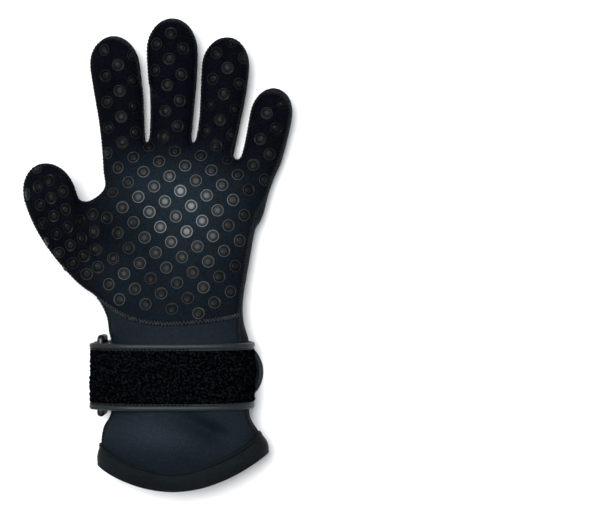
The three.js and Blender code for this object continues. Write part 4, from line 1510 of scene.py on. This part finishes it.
def hem_tape():
    """Rows are turns round the cuff. Columns go down the outside from the upper lip, over the fold
    and up the inside. The face is a half sine of puff, with a low welt near its upper edge and a
    groove under that, where it is stitched."""
    turn = np.linspace(0, 2 * np.pi, HEM_TURNS, endpoint=False)[:, None]
    edge = HEM_Y - hem_hang(power(np.cos(turn)), np.sin(turn) > 0)
    fold = np.radians(np.linspace(0, 180, 13))[None, :]
    middle_out = -WALL / 2
    round_out = WALL / 2 + HEM_SKIN
    face = np.linspace(1, 0.06, 34)[None, :]
    lip = np.array([[0.35, 0.8, 1.0]])
    outer_up = TAPE_FACE_MM * np.concatenate([np.array([[1.0, 1.012, 1.0]]), face[:, 1:]], axis=1)
    below_lip = face[:, 1:]
    puff = 0.8 * np.sin(np.pi * np.clip(below_lip * 1.2, 0, 1))
    welt = 0.45 * np.exp(-(((below_lip - 0.93) / 0.045) ** 2))
    puff += welt - 0.25 * np.exp(-(((below_lip - STITCHED_AT) / 0.03) ** 2))
    outer_out = np.concatenate([FIT_GAP + HEM_TAPE_THICKNESS * lip, HEM_SKIN + puff - 0.3], axis=1)
    fold_up = -0.9 * HEM_SKIN * np.sin(fold)
    fold_out = middle_out + round_out * np.cos(fold)
    inner_up = outer_up[:, ::-1]
    inner_out = -WALL - outer_out[:, ::-1]
    up = np.concatenate([outer_up, fold_up, inner_up], axis=1)
    out = np.concatenate([outer_out, fold_out, inner_out], axis=1)
    rows, columns = HEM_TURNS, up.shape[1]
    turns = np.broadcast_to(turn, (rows, columns))
    points = cuff_at(edge + up, turns, np.broadcast_to(out, (rows, columns)))
    faces = [grid_faces(rows, columns, around=True, looped=True)]
    return dented(points.reshape(-1, 3)), faces


closed_piece("hem_binding", hem_tape(), HEM_CLOTH, ["hem_tape"])

# %% [markdown]
# The tape is sewn through near its upper edge: a row of short stitches that follows the hem.

# %% Stitches along the hem tape
def hem_row():
    """A line on the tape's outer face, a little below its upper edge, all round the cuff."""
    turn = np.linspace(0, 2 * np.pi, 721)
    edge = HEM_Y - hem_hang(power(np.cos(turn)), np.sin(turn) > 0)
    out = np.full(len(turn), HEM_SKIN - 0.4)
    path = dented(cuff_at(edge + STITCHED_AT * TAPE_FACE_MM, turn, out))
    return eased(spaced(path, SEAM_STEP), 4)


HEM_ROW = hem_row()
hem_along = tangents(HEM_ROW)
hem_middle = np.array([HEM_ROW[:, 0].mean(), 0, HEM_ROW[:, 2].mean()])
hem_out = (HEM_ROW - hem_middle) * [1, 0, 1]
hem_out = unit(hem_out - hem_along * (hem_out * hem_along).sum(axis=1, keepdims=True))
hem_sewn = stitches(
    HEM_ROW, hem_along, hem_out, np.cross(hem_out, hem_along), 2.6, (1.9, 0.7, 0.6), 0, 0, 0
)
closed_piece("hem_stitches", hem_sewn, THREAD)

# %% [markdown]
# ## The strap's path
#
# The strap is one flat ribbon. It starts sewn down beside the ring, goes round the ring's front
# bar, over the palm side, round the wrist, through the ring again and back under itself on the
# table to a round end. All its layers are profiles carried along this one line, so they can't
# come apart: a place on the strap is its distance along the line, its height across it, and its
# distance off the line.

# %% The strap's line in the wrist's cross-section
# The sewn strap lies a little higher on the wrist and is a little wider than the CAD model's
STRAP_UP = 1.2
HALF_STRAP = STRAP_HEIGHT / 2 + 0.5
HALF_THICK = EDGING_THICKNESS / 2
FOLD_RADIUS = RING_THICKNESS / 2 + FIT_GAP + FOLD_SLACK + HALF_THICK
FRONT_BAR = STRAP_Z + RING_HEIGHT / 2 - RING_THICKNESS / 2
BACK_BAR = STRAP_Z - RING_HEIGHT / 2 + RING_THICKNESS / 2


def arc(x, z, radius, start, end):
    """Points [x, z] on an arc between two angles in degrees."""
    turn = np.radians(np.linspace(start, end, 25))
    return np.stack([x + radius * np.cos(turn), z + radius * np.sin(turn)], axis=1)


def round_wrist(degrees, out):
    """Points [x, z] of the wrist's superellipse, moved out."""
    turn = np.radians(degrees)
    half = (STRAP_LITTLE - STRAP_THUMB) / 2 + out
    depth = np.where(np.sin(turn) > 0, STRAP_FRONT, STRAP_BACK) + out
    return np.stack([
        (STRAP_THUMB + STRAP_LITTLE) / 2 + half * power(np.cos(turn)),
        STRAP_Z + depth * power(np.sin(turn)),
    ], axis=1)


def strap_line():
    """Sewn end, front fold, round the wrist, back fold and the flat run to the tab, evenly spaced."""
    front_fold = arc(RING_X, FRONT_BAR, FOLD_RADIUS, -60, -240)
    toward = np.radians(30)
    out = np.array([np.cos(toward), np.sin(toward)])
    sewn = front_fold[-1] + SEWN_END * out + LAYER * np.array([out[1], -out[0]])
    degrees = np.arange(138.5, -152.5, -1.5)
    slack = STRAP_SLACK * smooth_step((degrees - 95) / 50)
    wrist_run = round_wrist(degrees, 2 * FIT_GAP + HALF_THICK + slack)
    back_fold = arc(RING_X, BACK_BAR, FOLD_RADIUS, 30, 180)
    corner = BACK_BAR - HALF_THICK
    to_table = arc(RING_X - FOLD_RADIUS + corner, BACK_BAR, corner, 180, 270)[1:]
    tab = [[STRAP_LITTLE + TAB_REACH, HALF_THICK]]
    line = np.concatenate([[sewn], front_fold, wrist_run, back_fold, to_table, tab])
    return eased(spaced(line, 0.5), 12)


STRAP_LINE = strap_line()
STRAP_SIDE = tangents(STRAP_LINE) @ np.array([[0, 1], [-1, 0]])
STRAP_AT = arc_lengths(STRAP_LINE)
STRAP_LONG = STRAP_AT[-1]
TAB_CENTRE = STRAP_LONG - HALF_STRAP


def on_strap(along, height, off):
    """Places on the strap as points: the line at along, moved off it by off, at height across."""
    at = [np.interp(along, STRAP_AT, STRAP_LINE[:, k]) for k in (0, 1)]
    side = [np.interp(along, STRAP_AT, STRAP_SIDE[:, k]) for k in (0, 1)]
    x, z = (at[k] + side[k] * off for k in (0, 1))
    return np.stack(np.broadcast_arrays(x, STRAP_Y + STRAP_UP + height, z), axis=-1)


print("strap line in mm:", round(float(STRAP_LONG), 1))

# %% [markdown]
# ## Webbing and pile
#
# Inside the binding lie two layers: a woven webbing, and on its outer face the pile, a felt of
# tiny loops that the hooks grip. Each is a flat closed profile along the strap, narrowed to a
# half circle at the tab. The pile's face is roughened by seeded random heights, loop by loop.

# %% Webbing and pile as flat profiles along the line
INNER_HALF = HALF_STRAP - EDGING_WIDTH + 0.7
WEB_STEP, PILE_STEP, PILE_ROUGHNESS = 2.0, 0.55, 0.42


def ribbon(low, high, step, faces_across, roughness, seed):
    """Rows go along the strap and columns round a flat section from low to high off the line. Its
    half-height is that of a half circle past the tab's centre, and its outer face is roughened."""
    straight = np.arange(0.6, TAB_CENTRE, step)
    bend = np.radians(np.linspace(0, 89, 22))
    along = np.concatenate([straight, TAB_CENTRE + INNER_HALF * np.sin(bend)])
    half = np.concatenate([np.full(len(straight), INNER_HALF), INNER_HALF * np.cos(bend)])
    face = np.linspace(-1, 1, faces_across)
    height = np.concatenate([face, face[::-3]])
    rng = np.random.default_rng(seed)
    rough = roughness * rng.normal(size=(len(along), faces_across))
    rough = (rough + np.roll(rough, 1, axis=0) + np.roll(rough, 1, axis=1)) / 1.7
    edge = 1 - np.abs(face) ** 24
    outer = low + (high - low) * (0.3 + 0.7 * edge) + rough * edge
    off = np.concatenate([outer, np.broadcast_to(low, (len(along), len(face[::3])))], axis=1)
    rings = on_strap(along[:, None], half[:, None] * height[None, :], off)
    return closed_tube(rings)


web = ribbon(-HALF_THICK, -FIT_GAP, WEB_STEP, 16, 0.0, 1)
pile = ribbon(0.0, PILE_THICKNESS - 0.15, PILE_STEP, 57, PILE_ROUGHNESS, 2)
closed_piece("strap_web", web, WEB_CLOTH, ["strap_webbing"])
closed_piece("strap_loops", pile, PILE_CLOTH, ["strap_pile"])

# %% [markdown]
# ## Binding
#
# A smooth tape is rolled round both long edges of the strap and round its end. Its section is a
# plump roll with a groove, where the needle has pulled it down, and a thin lip inside that.

# %% The rolled tape along the strap's edges
ROLL_WIDTH, GROOVE_DEPTH = 3.45, 0.72


def rolled_profile():
    """The distance in from the strap's edge and the distance off the line: a superellipse roll, a
    groove, and a low lip, on the outer face and back along the inner one."""
    turn = np.linspace(0.02, np.pi - 0.35, 14)
    roll_in = ROLL_WIDTH / 2 * (1 - power(np.cos(turn)))
    roll_off = HALF_THICK * power(np.sin(turn))
    lip_in = np.array([ROLL_WIDTH + 0.02, ROLL_WIDTH + 0.3, ROLL_WIDTH + 0.55, EDGING_WIDTH])
    lip_off = np.array([HALF_THICK - GROOVE_DEPTH, 1.12, 1.15, 0.75])
    inward = np.concatenate([roll_in, lip_in])
    off = np.concatenate([roll_off, lip_off])
    return np.concatenate([inward, inward[::-1]]), np.concatenate([off, -off[::-1]])


def binding():
    """The profile carried down one edge, round the tab's half circle and back up the other."""
    inward, off = rolled_profile()
    straight = np.arange(0, TAB_CENTRE, 1.0)
    turn = np.radians(np.linspace(90, -90, 48))
    along = np.concatenate([straight, TAB_CENTRE + HALF_STRAP * np.cos(turn), straight[::-1]])
    out_along = np.concatenate([0 * straight, np.cos(turn), 0 * straight])
    out_height = np.concatenate([0 * straight + 1, np.sin(turn), 0 * straight - 1])
    height = HALF_STRAP * out_height
    rings = on_strap(
        along[:, None] - out_along[:, None] * inward,
        height[:, None] - out_height[:, None] * inward,
        np.broadcast_to(off, (len(along), len(off))),
    )
    return closed_tube(rings)


closed_piece("strap_binding", binding(), TAPE_CLOTH, ["strap_edging"])

# %% [markdown]
# Over the palm side the binding is sewn a second time, and the thread shows as a row of short
# dashes down in the groove, along both edges.

# %% Stitches in the binding's groove
SEWN_FROM, SEWN_TO = -38.0, 10.0


def groove_stitches():
    """Beads in the groove at even steps, where the line is on top and between two places in x."""
    x, z = STRAP_LINE.T
    on_top = (z > STRAP_Z) & (x > SEWN_FROM) & (x < SEWN_TO)
    along = np.arange(*STRAP_AT[on_top][[0, -1]], 0.5)
    off = HALF_THICK - GROOVE_DEPTH + 0.42
    both = []
    for side in (1, -1):
        path = on_strap(along, side * (HALF_STRAP - ROLL_WIDTH - 0.1), off)
        forward = tangents(path)
        across = np.tile([0.0, 1.0, 0.0], (len(path), 1))
        up = np.cross(forward, across)
        both.append(stitches(path, forward, up, across, 2.4, (1.9, 0.95, 0.6), 0, 0, 0))
    faces = [group + k * len(both[0][0]) for k in (0, 1) for group in both[k][1]]
    return np.concatenate([both[0][0], both[1][0]]), faces


closed_piece("strap_stitches", groove_stitches(), THREAD)

# %% [markdown]
# ## Ring
#
# The strap turns back through a moulded loop. Only its two ends show beside the strap. It is a
# round bar bent into a rectangle: a small superellipse carried along a closed line.

# %% The ring as a bar round a rectangle
RING_CORNER = 1.1


def ring_bar():
    """Rows go round a rounded rectangle in the plane across the wrist, columns round the bar."""
    long_half = RING_LENGTH / 2 - RING_THICKNESS / 2 - RING_CORNER
    high_half = RING_HEIGHT / 2 - RING_THICKNESS / 2 - RING_CORNER
    quarter = np.radians(np.linspace(0, 90, 9))
    corners = [(1, 1, 0), (-1, 1, 90), (-1, -1, 180), (1, -1, 270)]
    turn = np.concatenate([quarter + np.radians(start) for _, _, start in corners])
    middle_y = np.repeat([c[0] * long_half for c in corners], 9)
    middle_z = np.repeat([c[1] * high_half for c in corners], 9)
    bar = np.linspace(0, 2 * np.pi, 20, endpoint=False)
    reach = RING_CORNER + RING_THICKNESS / 2 * power(np.cos(bar))[None, :]
    points = np.stack(np.broadcast_arrays(
        RING_X + RING_THICKNESS / 2 * power(np.sin(bar))[None, :],
        STRAP_Y + STRAP_UP + middle_y[:, None] + reach * np.cos(turn)[:, None],
        STRAP_Z + middle_z[:, None] + reach * np.sin(turn)[:, None],
    ), axis=-1)
    return points.reshape(-1, 3), [grid_faces(len(turn), len(bar), around=True, looped=True)]


closed_piece("strap_loop_ring", ring_bar(), PLASTIC, ["strap_ring"])
